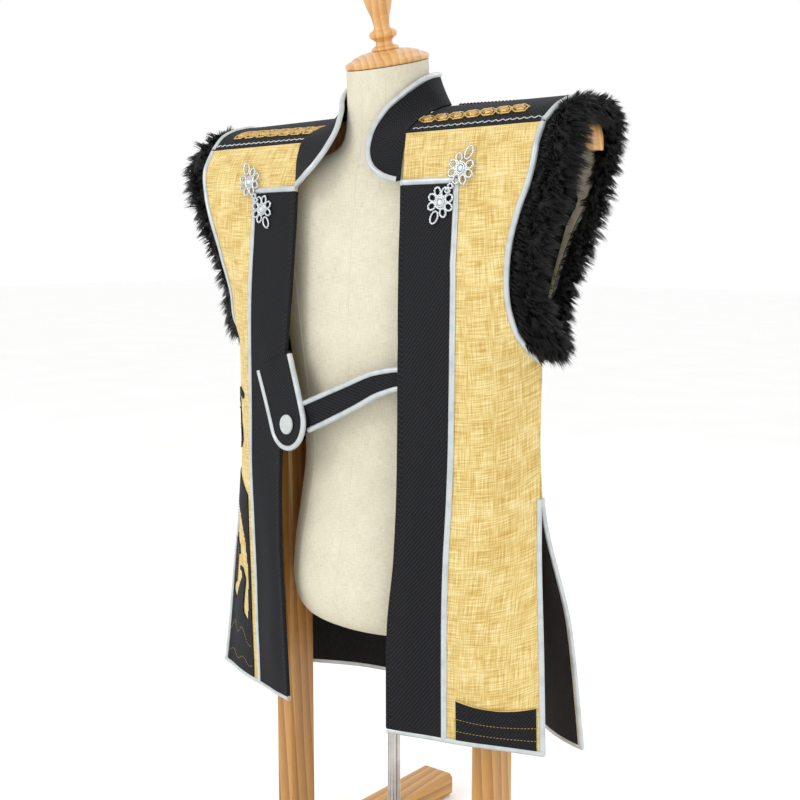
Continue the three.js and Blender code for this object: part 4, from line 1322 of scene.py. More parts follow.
@dataclass
class Appliques:
    """Rolling-cloud shapes cut from black twill, drawn as runs of circles: x, drop and radius."""

    dresser: Wardrobe
    fronts: Fronts
    step: float = 3.0
    columns: int = 44
    start: float = 1.09  # across, where the cut cloth begins, how wide it is and where it ends
    wide: float = 0.835
    end: float = 1.925
    top: float = 330.0
    low: float = HEM - 5
    unit_wide: float = 110.0  # millimetres in one unit across
    reach: float = 0.9  # how far outside its outline cloth is kept
    cloud: tuple = (
        ((176, 742, 58), (236, 742, 76), (300, 742, 70)),
        ((252, 470, 14), (222, 486, 20), (194, 512, 22), (178, 556, 18), (172, 606, 16), (174, 710, 20)),
        ((290, 660, 44), (268, 612, 22), (252, 584, 13), (238, 570, 9), (226, 574, 6), (224, 586, 4)),
        ((228, 672, 22), (214, 640, 13), (204, 622, 8), (208, 610, 5), (218, 608, 4)),
    )
    eyes: tuple = (((250, 650, 10), (240, 636, 5)),)
    curl: tuple = (
        ((196, 350, 5), (207, 344, 5), (218, 350, 5), (223, 362, 5), (219, 374, 6), (208, 380, 4)),
        ((219, 374, 6), (213, 390, 6), (205, 400, 6), (202, 414, 5), (209, 424, 4)),
        ((213, 390, 6), (228, 398, 7), (240, 392, 5), (246, 380, 4)),
    )

    @staticmethod
    def distance(x: Array, drop: Array, runs: tuple) -> Array:
        """How far places lie outside runs of circles. Args: x, drop: places. runs. Returns: millimetres."""
        best = np.full(np.shape(x), 1e9)
        for run in runs:
            for (x0, d0, r0), (x1, d1, r1) in zip(run, run[1:]):
                along = ((x - x0) * (x1 - x0) + (drop - d0) * (d1 - d0)) / ((x1 - x0) ** 2 + (d1 - d0) ** 2)
                t = np.clip(along, 0, 1)
                away = np.hypot(x - x0 - t * (x1 - x0), drop - d0 - t * (d1 - d0))
                best = np.minimum(best, away - r0 - t * (r1 - r0))
        return best

    def outline(self, x: Array, drop: Array, shape: tuple, holes: tuple) -> Array:
        """How far places lie outside a cut shape. Args: as for distance. Returns: below 0 inside."""
        away = self.distance(x, drop, shape)
        return np.maximum(away, -self.distance(x, drop, holes)) if holes else away

    def build(self) -> None:
        """Builds the cloud and the curl, and lines of stitching on the cloud."""
        front = self.fronts.surfaces[RIGHT]
        for name, shape, holes in (("cloud_right", self.cloud, self.eyes), ("curl_right", self.curl, ())):
            piece = self.cut(name, front, shape, holes)
            self.fronts.keep(RIGHT, self.dresser.dress(piece, "black", "black_cloth", name))
        lines = []
        for high, rise, wave in ((22, 0, 4.0), (52, 14, 7.0)):
            a = np.linspace(1.12, 1.9, 60)
            d = HEM - high - rise * np.sin((a - 1.1) * 3.4) + wave * np.sin(a * 17)
            lines.append(front.at(a, d, ON_APPLIQUE))
        d = np.linspace(470, 640, 50)
        lines.append(front.at(1.62 + 0.1 * np.sin(d / 46), d, ON_APPLIQUE))
        stitches = running_stitch("stitch_cloud_right", lines, 4.4)
        self.fronts.keep(RIGHT, self.dresser.dress(stitches, "gold_stitch", "gold_cloth"))

    def cut(self, name: str, front: Surface, shape: tuple, holes: tuple) -> Piece:
        """Cuts one shape out of a fine grid and snaps its rim to the outline.

        Args:
            name: the node that it stands for.
            front: the surface that it lies on.
            shape: runs of circles.
            holes: runs of circles cut out again.

        Returns:
            The closed piece.
        """
        circles = np.array([c for run in shape for c in run])
        top = max(circles[:, 1].min() - circles[:, 2].max() - 6, self.top)
        rows = int((self.low - top) / self.step)
        ea, ed = 0.004, 0.4  # small steps across and down

        def places(s: Array, t: Array) -> tuple[Array, Array]:
            """Places on the front for two shares."""
            return self.start + s * self.wide, top + t * (self.low - top)

        def away(a: Array, d: Array) -> Array:
            """How far places lie outside the shape."""
            return self.outline(-front.place(a, d)[..., 0], d, shape, holes)

        def snapped(s: Array, t: Array) -> tuple[Array, Array]:
            """The same places, those just outside the shape drawn on to its outline."""
            a, d = places(s, t)
            for _ in range(3):
                value = away(a, d)
                ga, gd = (away(a + ea, d) - value) / ea, (away(a, d + ed) - value) / ed
                steep = (ga / self.unit_wide) ** 2 + gd**2 + 1e-6
                near = (value > 0) & (value < self.step * 1.6)
                pull = np.where(near, value / steep, 0)
                a, d = a - pull * ga / self.unit_wide**2, d - pull * gd
            return np.clip(a, self.start, self.end), np.clip(d, top, self.low)

        piece = grid_piece(
            name + "_twill", (self.columns, rows),
            lambda s, t: front.at(*snapped(s, t), ON_APPLIQUE),
            lambda s, t: front.lengths(*places(s, t)),
        )
        lie_out(piece, front, 1.5, (top + HEM) / 2)
        corners = np.array([v.co for v in piece.data.vertices]) / MM
        value = self.outline(-corners[:, 0], SHOULDER - corners[:, 2], shape, holes)
        for part in (piece.data.polygons, piece.data.edges):
            part.foreach_set("select", [False] * len(part))
        piece.data.vertices.foreach_set("select", value > self.reach)
        bpy.ops.object.mode_set(mode="EDIT")
        bpy.ops.mesh.select_mode(type="VERT")
        bpy.ops.mesh.delete(type="VERT")
        bpy.ops.object.mode_set(mode="OBJECT")
        modified(piece, "SOLIDIFY", thickness=APPLIQUE * MM, offset=-1)
        smooth(piece)
        return piece


@dataclass
class Back:
    """The back: plain gold cloth, a black lining, a black border and silver bindings."""

    dresser: Wardrobe
    surface: Surface = field(default_factory=lambda: Surface(
        back_place, (-1, 1), (-44, BACK_HEM), (0, 1, 0.2), back_relief))

    def build(self) -> None:
        """Builds the back, its lining, border, trims, facing tapes and bindings."""
        dress, back = self.dresser.dress, self.surface
        cloth = dress(Cut((-1, 1), (-44, BACK_HEM), 0, PANEL, (110, 110)).lay("gold_back", back),
                      "gold", "gold_cloth", "back")
        lining = Cut((-0.98, 0.98), (36, BACK_HEM - 5), -GAP - LINING, LINING, (76, 70))
        lining = lining.lay("lining_of_back", back)
        dress(lining, "lining", "lining", "lining_back")

        def top(a: Array) -> Array:
            """The border's sagging upper edge."""
            return BACK_HEM - 60 + 8 * np.sin(math.pi * (a + 0.97) / 1.94)

        border = Cut((-0.97, 0.97), (0, BACK_HEM - 5), ON_PANEL, APPLIQUE, (110, 16))
        border = border.lay("twill_border_back", back, top)
        extras = [dress(border, "black", "black_cloth", "border_back")]
        across = np.linspace(-0.97, 0.97, 150)
        rows = [BACK_HEM - high for high in (34, 18)]
        extras += border_trims(self.dresser, "back", back, across, top(across), rows, 4.8)
        hem = np.linspace(-1, 1, 130)
        piping = bound("piping_hem_back", back, (hem, np.full(130, BACK_HEM)), (0, -1), PANEL)
        extras.append(dress(piping, "silver", "silver_binding", "binding_hem_back"))
        for side, name in SIDES.items():
            down = np.linspace(12, UNDERARM - 40, 70)
            edge = np.full(70, 0.985 * side), down
            facing = strip(f"tape_facing_{name}", back, edge, (-side, 0), TAPE, 0)
            extras.append(dress(facing, "tape", "lining"))
            runs = {"vent": np.linspace(VENT, BACK_HEM - 1, 60),
                    "armhole": np.linspace(-38, UNDERARM - 2, 70)}
            for kind, d in runs.items():
                edge = np.full(len(d), float(side)), d
                piece = bound(f"piping_back_{kind}_{name}", back, edge, (-side, 0), PANEL)
                extras.append(dress(piece, "silver", "silver_binding", f"binding_back_{kind}_{name}"))


@dataclass
class Shoulders:
    """The shoulder pieces and the collar, with their trims."""

    dresser: Wardrobe
    links: int = 7
    link_pitch: float = 23.4
    first_link: dict[str, float] = field(default_factory=lambda: {"left": 92.0, "right": 101.0})
    link_row: float = 1.0
    link_lean: float = 0.68  # across, towards the neck, for each step back
    link_half: tuple[float, float] = (13.4, 11.5)
    pad_half: tuple[float, float] = (9.2, 7.8)
    pad_rise: tuple = ((1, 0.05), (0.98, 1.2), (0.85, 2.8), (0.55, 3.9), (0.01, 4.3))  # size and height
    zigzag_step: float = 5.2
    scallop: float = 2.6  # a gimp loop's radius, how far it is to the next and how many there are
    scallop_pitch: float = 5.3
    scallop_count: int = 38

    def build(self) -> None:
        """Builds both shoulder pieces, their chains, zigzags and scallops, and the collar."""
        for side, name in SIDES.items():
            yoke = yoke_surface(side)
            cloth = Cut((0, 1), (0, 4), 0, BAND, (56, 36)).lay(f"twill_yoke_{name}", yoke)
            self.dresser.dress(cloth, "black", "black_cloth", f"yoke_{name}")
            extras = [self.chain(yoke, name), self.studs(yoke, name), self.zigzag(yoke, name),
                      self.scallops(yoke, name), self.edge(yoke, name)]
        self.collar()

    def link_places(self, name: str) -> list[float]:
        """Where the links' middles lie across the shoulder piece. Args: name: the side's. Returns: shares."""
        first = self.first_link[name]
        return [(first + k * self.link_pitch - YOKE_NECK) / YOKE_WIDE for k in range(self.links)]

    def ring(self, yoke: Surface, share: float, half: tuple[float, float], out: float) -> tuple[Array, Array]:
        """A rounded six-sided line round a link's middle.

        Args:
            yoke: the shoulder piece.
            share: where the middle lies across it.
            half: half sizes, across and back.
            out: height over the shoulder piece.

        Returns:
            Points and normals.
        """
        turn = lap(48)
        reach = 0.88 / np.cos(turn % (math.pi / 3) - math.pi / 6)
        deep = half[1] * np.sin(turn) * reach
        a = share + (half[0] * np.cos(turn) * reach - self.link_lean * deep) / YOKE_WIDE
        at = self.link_row + deep / YOKE_STEP
        return yoke.at(a, at, out), yoke.normal(a, at)

    def chain(self, yoke: Surface, name: str) -> Piece:
        """Couched gold cord in seven linked rings. Args: yoke, name. Returns: the piece."""
        heap = Heap()
        for share in self.link_places(name):
            heap.tube(*self.ring(yoke, share, self.link_half, BAND + 1.0), CHAIN)
        return self.dresser.dress(heap.piece(f"gold_chain_{name}"), "gold_cord", "gold_cloth")

    def studs(self, yoke: Surface, name: str) -> Piece:
        """Satin-stitched pads inside the rings. Args: yoke, name. Returns: the piece."""
        heap = Heap()
        for share in self.link_places(name):
            rings = [self.ring(yoke, share, (self.pad_half[0] * k, self.pad_half[1] * k), BAND + high)[0]
                     for k, high in self.pad_rise]
            points = np.concatenate(rings)
            count = len(rings[0])
            i, k = np.meshgrid(np.arange(len(rings) - 1), np.arange(count), indexing="ij")
            m = (k + 1) % count
            faces = np.stack([i * count + k, i * count + m, (i + 1) * count + m, (i + 1) * count + k], -1)
            heap.add(points, faces.reshape(-1, 4))
        return self.dresser.dress(heap.piece(f"gold_studs_{name}"), "bronze", "gold_cloth")

    def zigzag(self, yoke: Surface, name: str) -> Piece:
        """A silver zigzag cord along the front edge. Args: yoke, name. Returns: the piece."""
        a = np.linspace(0.03, 0.985, 240)
        at = 0.17 + 0.055 * np.abs((a * YOKE_WIDE / self.zigzag_step) % 2 - 1) * 2
        heap = Heap()
        heap.tube(yoke.at(a, at, BAND + 0.7), yoke.normal(a, at), ZIGZAG, loop=False)
        return self.dresser.dress(heap.piece(f"silver_zigzag_{name}"), "braid", "silver_cord")

    def edge(self, yoke: Surface, name: str) -> Piece:
        """The armhole binding where it runs over the shoulder piece. Args: yoke, name. Returns: the piece."""
        at = np.linspace(0.0, 3.9, 60)
        piece = bound(f"piping_yoke_{name}", yoke, (np.ones(60), at), (-1, 0), BAND)
        return self.dresser.dress(piece, "silver", "silver_binding")

    def scallops(self, yoke: Surface, name: str) -> Piece:
        """A row of black gimp loops along the ridge. Args: yoke, name. Returns: the piece."""
        heap = Heap()
        turn = np.linspace(0, math.pi, 9)
        for k in range(self.scallop_count):
            a = (6 + k * self.scallop_pitch + self.scallop * np.cos(turn)) / YOKE_WIDE
            rows = np.full(9, 3.86)
            up = yoke.normal(a, rows)
            points = yoke.at(a, rows, BAND) + up * (self.scallop * np.sin(turn))[:, None]
            heap.tube(points, np.broadcast_to((0.0, 1.0, 0.0), points.shape), GIMP, loop=False)
        return self.dresser.dress(heap.piece(f"gimp_ridge_{name}"), "black_lace", "black_cloth")

    def collar(self) -> None:
        """The standing collar and the binding of its free edge."""
        surface = Surface(stand_place, (-12, 12), (0, 1), (0.3, -1, 0.2))
        surface.sign = 1.0 if surface.normal(np.array([0.0]), np.array([0.5]))[0][1] > 0 else -1.0
        cloth = Cut((-12, 12), (0, 1), 0, COLLAR, (150, 22)).lay("twill_collar", surface)
        self.dresser.dress(cloth, "black", "black_cloth", "collar")
        a = np.linspace(-12, 12, 180)
        piping = bound("piping_collar", surface, (a, np.ones(180)), (0, -1), COLLAR)
        self.dresser.dress(piping, "silver", "silver_binding", "binding_collar")


@dataclass(frozen=True)
class Flower:
    """A cord flower: its middle on the front, its great loop's middle from there, and its height."""

    kind: str
    x: float
    drop: float
    tip: tuple[float, float]
    base: float


@dataclass
class Closure:
    """The strap across the chest, the tab over its end, the button and the four knotted cord flowers."""

    dresser: Wardrobe
    fronts: Fronts
    tab_x: float = 119.0
    tab_drop: float = 294.0
    lean: float = 23.0
    width: float = 73.0
    length: float = 126.0
    button_along: float = 92.0
    button_radius: float = 13.5
    button_thick: float = 3.6
    flowers: tuple[Flower, ...] = (Flower("upper", 180.0, 50.0, (8.0, -16.0), 5.6),
                                   Flower("lower", 152.0, 88.0, (-8.0, 16.5), 4.8))
    petals: int = 8
    great_loop: tuple[float, float, float] = (20.0, 7.8, 5.0)  # its middle's distance, and its half sizes
    small_loop: tuple[float, float, float] = (13.4, 5.3, 4.3)
    knot: tuple = ((7.6, 1.8), (5.4, 2.8))  # rings round the stone: radius and height
    tail: tuple = ((-13, 19.5, 3.4), (-17, 25, 3.0))  # knots of the upper flower's end: place and radius
    stone: tuple[float, float] = (4.0, 2.6)  # half its width and its height

    def build(self) -> None:
        """Builds the strap, tab, button and flowers."""
        surface = Surface(strap_place, (-1, 1), (0.1, 4.9), (0, -1, 0), settled=False)
        strap = Cut((-1, 1), (0.1, 4.9), 0, STRAP, (12, 60)).lay("twill_strap", surface)
        dress = self.dresser.dress
        dress(strap, "black", "black_cloth", "strap")
        run, extras = np.linspace(0.75, 4.9, 80), []
        for name, edge in (("upper", 1), ("lower", -1)):
            path = np.full(80, float(edge)), run
            piping = bound(f"piping_strap_{name}", surface, path, (-edge, 0), STRAP)
            extras.append(dress(piping, "silver", "silver_binding", f"binding_strap_{name}"))
        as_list(extras)
        self.tab()
        for side, name in SIDES.items():
            for flower in self.flowers:
                self.flower(side, name, flower)

    def on_tab(self, across: Array, along: Array, out: Array) -> Array:
        """Points on the tab. Args: across, along: from its upper end. out: height. Returns: points."""
        return self.tab_frame(across, along, out)[0]

    def tab_frame(self, across: Array, along: Array, out: Array) -> tuple[Array, Array]:
        """Points on the tab and the ways out. Args: as for on_tab. Returns: both."""
        across, along = np.broadcast_arrays(np.asarray(across, float), np.asarray(along, float))
        sin, cos = math.sin(math.radians(self.lean)), math.cos(math.radians(self.lean))
        x = self.tab_x - along * sin + across * cos
        drop = self.tab_drop + along * cos + across * sin
        ends = [FRONT(n, drop) for n in ("openX", "bandX")]
        front = self.fronts.surfaces[RIGHT]
        a = (x - ends[0]) / (ends[1] - ends[0])
        inside = np.clip(a, 0, None)
        base = front.at(inside, drop, ON_BAND + np.asarray(out))
        ahead = 0.02  # past the open edge the tab runs straight on
        step = front.at(np.zeros_like(a), drop, ON_BAND + np.asarray(out)) - front.at(
            np.full_like(a, ahead), drop, ON_BAND + np.asarray(out))
        return base + step * (np.clip(-a, 0, None) / ahead)[..., None], front.normal(inside, drop)

    def half(self, along: Array) -> Array:
        """Half the tab's width. Args: along: millimetres from its upper end. Returns: it."""
        radius = self.width / 2
        beyond = np.clip(along - (self.length - radius), 0, radius)
        return np.sqrt(np.clip(radius**2 - beyond**2, 0.01, None))

    def tab(self) -> None:
        """The round-ended tab, its binding and its button."""
        radius = self.width / 2
        straight = self.length - radius

        def along(t: Array) -> Array:
            """How far down the tab a row lies: even on its straight part, closer on its round end."""
            end = radius * np.sin(np.clip(t - 0.6, 0, 1) / 0.4 * math.pi / 2)
            return np.where(t < 0.6, straight * t / 0.6, straight + end)

        cloth = grid_piece(
            "twill_tab", (24, 44),
            lambda s, t: self.on_tab((2 * s - 1) * self.half(along(t)), along(t), STRAP),
            lambda s, t: np.stack([(2 * s - 1) * self.half(along(t)), along(t)], -1) * MM,
        )
        if cloth.data.polygons[500].normal.y > 0:
            in_edit(cloth, bpy.ops.mesh.flip_normals)
        modified(cloth, "SOLIDIFY", thickness=STRAP * MM, offset=-1)
        smooth(cloth)
        self.dresser.dress(cloth, "black", "black_cloth", "tab")
        turn = np.radians(np.linspace(180, 360, 41))
        across = np.concatenate([np.full(16, -radius), radius * np.cos(turn), np.full(16, radius)])
        way = np.concatenate([np.linspace(4, straight - 2, 16), straight - radius * np.sin(turn),
                              np.linspace(straight - 2, 4, 16)])
        aim = np.concatenate([np.full(16, 180.0), np.linspace(180, 360, 41), np.full(16, 360.0)])
        edge, out = self.tab_frame(across, way, STRAP + GRIP)
        inner = self.on_tab(across - np.cos(np.radians(aim)), way + np.sin(np.radians(aim)), STRAP + GRIP)
        piping = swept("piping_tab", edge, unit(inner - edge), out, wrapped(STRAP))
        self.dresser.dress(piping, "silver", "silver_binding", "binding_tab")
        button = self.button()

    def button(self) -> Piece:
        """A flat round button with a soft rim and a shallow dish. Returns: the piece."""
        profile = np.array([(0, 0.0), (0.96, 0.0), (1.0, 0.25), (1.0, 0.55), (0.95, 0.86), (0.87, 1.0),
                            (0.78, 0.95), (0.7, 0.86), (0.4, 0.84), (0, 0.84)])
        count = len(profile) - 1

        def place(s: Array, t: Array) -> Array:
            """Points of the turned profile, on the tab."""
            k = np.rint(t * count).astype(int)
            turn = once_round(s) * 2 * math.pi
            reach, high = profile[k, 0] * self.button_radius, profile[k, 1] * self.button_thick
            along = self.button_along + reach * np.sin(turn)
            return self.on_tab(reach * np.cos(turn), along, STRAP + GAP + high)

        piece = closed(grid_piece("button_disc", (48, count), place))
        modified(piece, "SUBSURF", levels=1, render_levels=1)
        return self.dresser.dress(piece, "button", "button", "button")

    def flower(self, side: int, name: str, flower: Flower) -> None:
        """A flower of twisted silver cord with a cut-glass middle. Args: side, name, flower."""
        front, kind, base = self.fronts.surfaces[side], flower.kind, flower.base

        def lie(u: Array, w: Array, out: float) -> tuple[Array, Array]:
            """Points and normals at places from the flower's middle."""
            d = flower.drop + w
            ends = [FRONT(n, d) for n in ("openX", "bandX", "sideX")]
            across = flower.x + u
            a = np.where(across < ends[1], (across - ends[0]) / (ends[1] - ends[0]),
                         1 + (across - ends[1]) / (ends[2] - ends[1]))
            return front.at(a, d, out), front.normal(a, d)

        heap = Heap()
        turn = lap(36)
        first = math.atan2(flower.tip[1], flower.tip[0])
        for k in range(self.petals):
            aim = first + k * 2 * math.pi / self.petals
            far, long, wide = self.great_loop if k == 0 else self.small_loop
            u0, w0 = far * math.cos(aim), far * math.sin(aim)
            u = u0 + long * np.cos(turn) * math.cos(aim) - wide * np.sin(turn) * math.sin(aim)
            w = w0 + long * np.cos(turn) * math.sin(aim) + wide * np.sin(turn) * math.cos(aim)
            heap.tube(*lie(u, w, base + 1.2 + 0.5 * (k % 2)), LOOP)
        for radius, high in self.knot:
            heap.tube(*lie(radius * np.cos(turn), radius * np.sin(turn), base + high), KNOT)
        for u0, w0, size in self.tail if kind == "upper" else ():
            for lift in (0.0, 1.2):
                u, w = u0 + size * np.cos(turn), w0 + size * 0.8 * np.sin(turn)
                heap.tube(*lie(u, w, base + 1.6 + lift), TENDRIL)
        cord = heap.piece(f"cord_flower_{kind}_{name}")
        self.dresser.dress(cord, "braid", "silver_cord", f"frog_{kind}_{name}")
        points, faces = template(bpy.ops.mesh.primitive_ico_sphere_add, subdivisions=2, radius=1)
        middle, out = (p[0] for p in lie(np.array([0.0]), np.array([0.0]), base + 2.2))
        aside = unit(np.cross(out, (0, 0, 1)))
        wide, high = self.stone
        shape = np.stack([aside * wide, np.cross(out, aside) * wide, out * high])
        gem = Heap()
        gem.add(middle + points @ shape, faces)
        stone = self.dresser.dress(gem.piece(f"glass_{kind}_{name}"), "glass", "silver_cord")
        stone.data.polygons.foreach_set("use_smooth", [False] * len(stone.data.polygons))


# ---- fur ----
@dataclass(frozen=True)
class Coat:
    """One sort of hair: how many, how long and thick, how far it strays and how much it lies down."""

    name: str
    count: int
    long: float  # as a share of a guard hair
    thick: float
    loose: float
    lie: float
    rings: tuple[tuple[float, float], ...]  # each ring's place along a hair, and the thickness there


BENT = ((0.0, 1.0), (0.55, 0.8))
STRAIGHT = ((0.0, 1.0),)
GUARD = Coat("guard", 12000, 1.0, 0.46, 0.16, 1.0, BENT)
UNDER = Coat("under", 8000, 0.6, 0.62, 0.35, 0.6, STRAIGHT)
SKIRT = Coat("skirt", 9500, 0.85, 0.5, 0.18, 1.0, BENT)


@dataclass
class Fur:
    """Long fur round an armhole: a roll, a skirt of fur between it and the cloth's edge, and their hair."""

    dresser: Wardrobe
    fronts: Fronts
    ground: float = 0.68  # the roll's radius as a share of the fur's
    marks: int = 420
    lock: int = 14  # hairs that run together to one point
    gather: float = 0.62  # how far they do

    @staticmethod
    def line(t: Array) -> Array:
        """The roll's line. Args: t: places from 0 to 1 round it. Returns: x, y, height and radius."""
        count = len(FUR)
        at = (np.asarray(t) % 1) * count
        i = np.floor(at).astype(int)
        f = (at - i)[..., None]
        p = [FUR[(i + k) % count] for k in (-1, 0, 1, 2)]
        return 0.5 * (2 * p[1] + (p[2] - p[0]) * f + (2 * p[0] - 5 * p[1] + 4 * p[2] - p[3]) * f**2
                      + (3 * p[1] - p[0] - 3 * p[2] + p[3]) * f**3)

    def frame(self, t: Array, side: int) -> tuple[Array, Array, Array, Array]:
        """Where the roll is. Args: t: places round it. side. Returns: middles, radii, two ways across."""
        row, ahead, behind = self.line(t), self.line(t + 0.002), self.line(t - 0.002)
        middle = xyz(row[..., 0] * side, row[..., 1], SHOULDER + row[..., 2])
        middle[..., 2] += ROLL * middle[..., 0] * rising(middle[..., 2], SHOULDER - UNDERARM, SHOULDER)
        along = unit((ahead - behind)[..., :3] * (side, 1, 1))
        outward = unit(np.array([side, 0.0, 0.0]) - along * along[..., :1] * side)
        return middle, row[..., 3], outward, np.cross(along, outward)

    def edge(self, side: int) -> Callable[[Array], Array]:
        """The cloth's edge beside the roll. Args: side. Returns: its points, for places round the roll."""
        down = np.linspace(0, UNDERARM, 120)
        back = Surface(back_place, (-1, 1), (-44, BACK_HEM), (0, 1, 0.2))
        line = np.concatenate([
            self.fronts.surfaces[side].at(np.full(120, 1.985), down),
            back.at(np.full(120, 0.985 * side), np.linspace(-40, UNDERARM, 120)),
            yoke_surface(side).at(np.full(60, 0.985), np.linspace(0, 4, 60)),
        ])
        marks = np.linspace(0, 1, self.marks, endpoint=False)
        middle = self.frame(marks, side)[0]
        near = line[np.argmin(np.linalg.norm(middle[:, None] - line[None], axis=-1), axis=1)]
        for _ in range(6):
            near = (np.roll(near, 1, 0) + 2 * near + np.roll(near, -1, 0)) / 4

        def at(t: Array) -> Array:
            """Points of the edge beside places round the roll."""
            return np.stack([np.interp(t % 1, np.append(marks, 1), np.append(near[:, k], near[0, k]))
                             for k in range(3)], -1)

        return at

    def build(self) -> None:
        """Builds both armholes' fur."""
        share = 1.0
        for side, name in SIDES.items():
            edge = self.edge(side)
            self.roll(side, name)
            self.skirt(side, name, edge)
            rng = np.random.default_rng(SEED + side)
            for coat in (GUARD, UNDER, SKIRT):
                count = int(coat.count * share)
                t, turn = rng.random(count), rng.random(count)
                grow = self.on_skirt(t, turn, side, edge) if coat is SKIRT else self.on_roll(t, turn, side)
                piece = self.hairs(side, rng, coat, t, turn, *grow, f"fur_{coat.name}_{name}")
                self.dresser.dress(piece, "fur", "fur")

    def roll(self, side: int, name: str) -> None:
        """The ground that the hair grows from. Args: side, name."""
        def place(s: Array, t: Array) -> Array:
            """Points of the lumpy roll."""
            turn, around = once_round(s) * 2 * math.pi, once_round(t)
            middle, radius, outward, other = self.frame(around, side)
            lumps = 1 + 0.06 * np.sin(around * 190 + 2 * np.sin(turn)) * np.cos(turn * 3 + around * 60)
            reach = (radius * self.ground * lumps)[:, None]
            return middle + reach * (outward * np.cos(turn)[:, None] + other * np.sin(turn)[:, None])

        piece = closed(grid_piece(f"fur_ground_{name}", (20, 190), place))
        self.dresser.dress(piece, "fleece", "fur", f"fur_{name}")

    def skirt(self, side: int, name: str, edge: Callable[[Array], Array]) -> None:
        """The fur's hide between the roll and the cloth. Args: side, name. edge: the cloth's edge."""
        def place(s: Array, t: Array) -> Array:
            """Points between the cloth's edge and the roll's line."""
            around = once_round(t)
            return edge(around) * (1 - s)[:, None] + self.frame(around, side)[0] * s[:, None]

        piece = grid_piece(f"fur_hide_{name}", (8, 190), place)
        in_edit(piece, lambda: bpy.ops.mesh.remove_doubles(threshold=2e-6))
        modified(piece, "SOLIDIFY", thickness=1.5 * MM, offset=0)
        self.dresser.dress(piece, "fleece", "fur")

    def on_roll(self, t: Array, turn: Array, side: int) -> tuple[Array, Array, Array]:
        """Roots on the roll. Args: t, turn: shares along and round. side. Returns: roots, ways out, radii."""
        middle, radius, outward, other = self.frame(t, side)
        angle = turn * 2 * math.pi
        spoke = outward * np.cos(angle)[:, None] + other * np.sin(angle)[:, None]
        return middle + spoke * (radius * self.ground * 0.92)[:, None], spoke, radius

    def on_skirt(self, t: Array, share: Array, side: int, edge: Callable[[Array], Array]
                 ) -> tuple[Array, Array, Array]:
        """Roots on the hide. Args: t, share: shares along and across it. side, edge. Returns: as on_roll."""
        middle, radius, outward, other = self.frame(t, side)
        start = edge(t)
        root = start + (middle - start) * (0.02 + 0.75 * share[:, None])
        along = np.cross(outward, other)
        out = unit(np.cross(unit(middle - start), along))
        away = unit(root - np.array([side * 180.0, 0.0, SHOULDER - 120]))
        out *= np.sign((out * away).sum(-1, keepdims=True))
        return root, out, radius

    @staticmethod
    def lead(root: Array, locks: int) -> Array:
        """Which hair leads each one. Args: root: where they grow. locks: how many lead. Returns: numbers."""
        tree = kdtree.KDTree(locks)
        for k in range(locks):
            tree.insert(root[k], k)
        tree.balance()
        return np.array([tree.find(place)[1] for place in root])

    @staticmethod
    def comb(middle: Array, side: int) -> Array:
        """The way that hair lies. Args: middle: points on the roll's line. side. Returns: vectors."""
        high, y = middle[:, 2] - SHOULDER, middle[:, 1]
        top, low = rising(high, -30, 20), rising(-high, 190, 250)
        back = rising(y, -10, 40)
        x = 0.75 + 0.1 * back - 0.1 * top - 0.15 * low
        y = 0.6 - 0.5 * back - 0.2 * top - 0.3 * low
        return unit(xyz(side * x, y, -0.25 - 0.15 * top - 0.3 * back - 0.4 * low))

    def hairs(self, side: int, rng: np.random.Generator, coat: Coat, t: Array, turn: Array, root: Array,
              spoke: Array, radius: Array, name: str) -> Piece:
        """Tapered hairs that stand out from the ground and turn with the way it is combed.

        Args:
            side: which armhole.
            rng: the seeded source of their differences.
            coat: their sort.
            t, turn: their places, from which tufts are worked out.
            root, spoke, radius: where they grow, the way out there and the fur's depth.
            name: the piece's name.

        Returns:
            One piece with all of them.
        """
        count = len(t)
        comb = self.comb(root, side)
        comb -= spoke * np.minimum((comb * spoke).sum(-1, keepdims=True), 0)
        waves = ((151, 13, 0.3), (97, 19, 1.9), (211, 7, 4.0))  # tufts: turns along, turns round and phase
        tuft = np.stack([np.sin(t * k1 + turn * k2 + p) for k1, k2, p in waves], -1)
        stray = rng.normal(size=(count, 3)) * coat.loose
        aim = unit(spoke * 0.55 + comb * coat.lie * 0.95 + tuft * 0.3 + stray)
        length = coat.long * (6 + radius * 0.62) * (0.8 + 0.35 * rng.random(count)) * (1 + 0.16 * tuft[:, 0])
        droop = comb * 0.5 + np.array([0, 0, -0.3]) + rng.normal(size=(count, 3)) * 0.08
        lead = self.lead(root, count // self.lock)
        aim += (aim[lead] + (root[lead] - root) / length[:, None] * 0.9 - aim) * self.gather
        droop += (droop[lead] - droop) * self.gather
        rings = len(coat.rings)
        steps = np.array([at for at, _ in coat.rings] + [1.0])
        size = np.array([wide for _, wide in coat.rings]) * coat.thick
        line = root[:, None] + length[:, None, None] * (
            aim[:, None] * steps[None, :, None] + droop[:, None] * (0.5 * steps**2)[None, :, None])
        aside = unit(np.cross(aim, rng.normal(size=(count, 3))))
        third = np.cross(aim, aside)
        corner = np.arange(3) * 2 * math.pi / 3
        ring = aside[:, None] * np.cos(corner)[None, :, None] + third[:, None] * np.sin(corner)[None, :, None]
        body = line[:, :-1, None] + ring[:, None] * size[None, :, None, None]
        points = np.concatenate([body.reshape(count, rings * 3, 3), line[:, -1:]], 1)
        start = np.arange(count)[:, None, None] * (rings * 3 + 1)
        end = rings * 3
        walls = np.array([[k, k + 1, k + 4, k + 3] if k % 3 < 2 else [k, k - 2, k + 1, k + 3]
                          for k in range(end - 3)], int).reshape(-1, 4)
        tips = np.array([[end - 3, end - 2, end], [end - 2, end - 1, end], [end - 1, end - 3, end],
                         [0, 2, 1]])
        faces = (walls[None] + start).reshape(-1, 4).tolist() + (tips[None] + start).reshape(-1, 3).tolist()
        piece = raw_piece(name, points.reshape(-1, 3), faces)
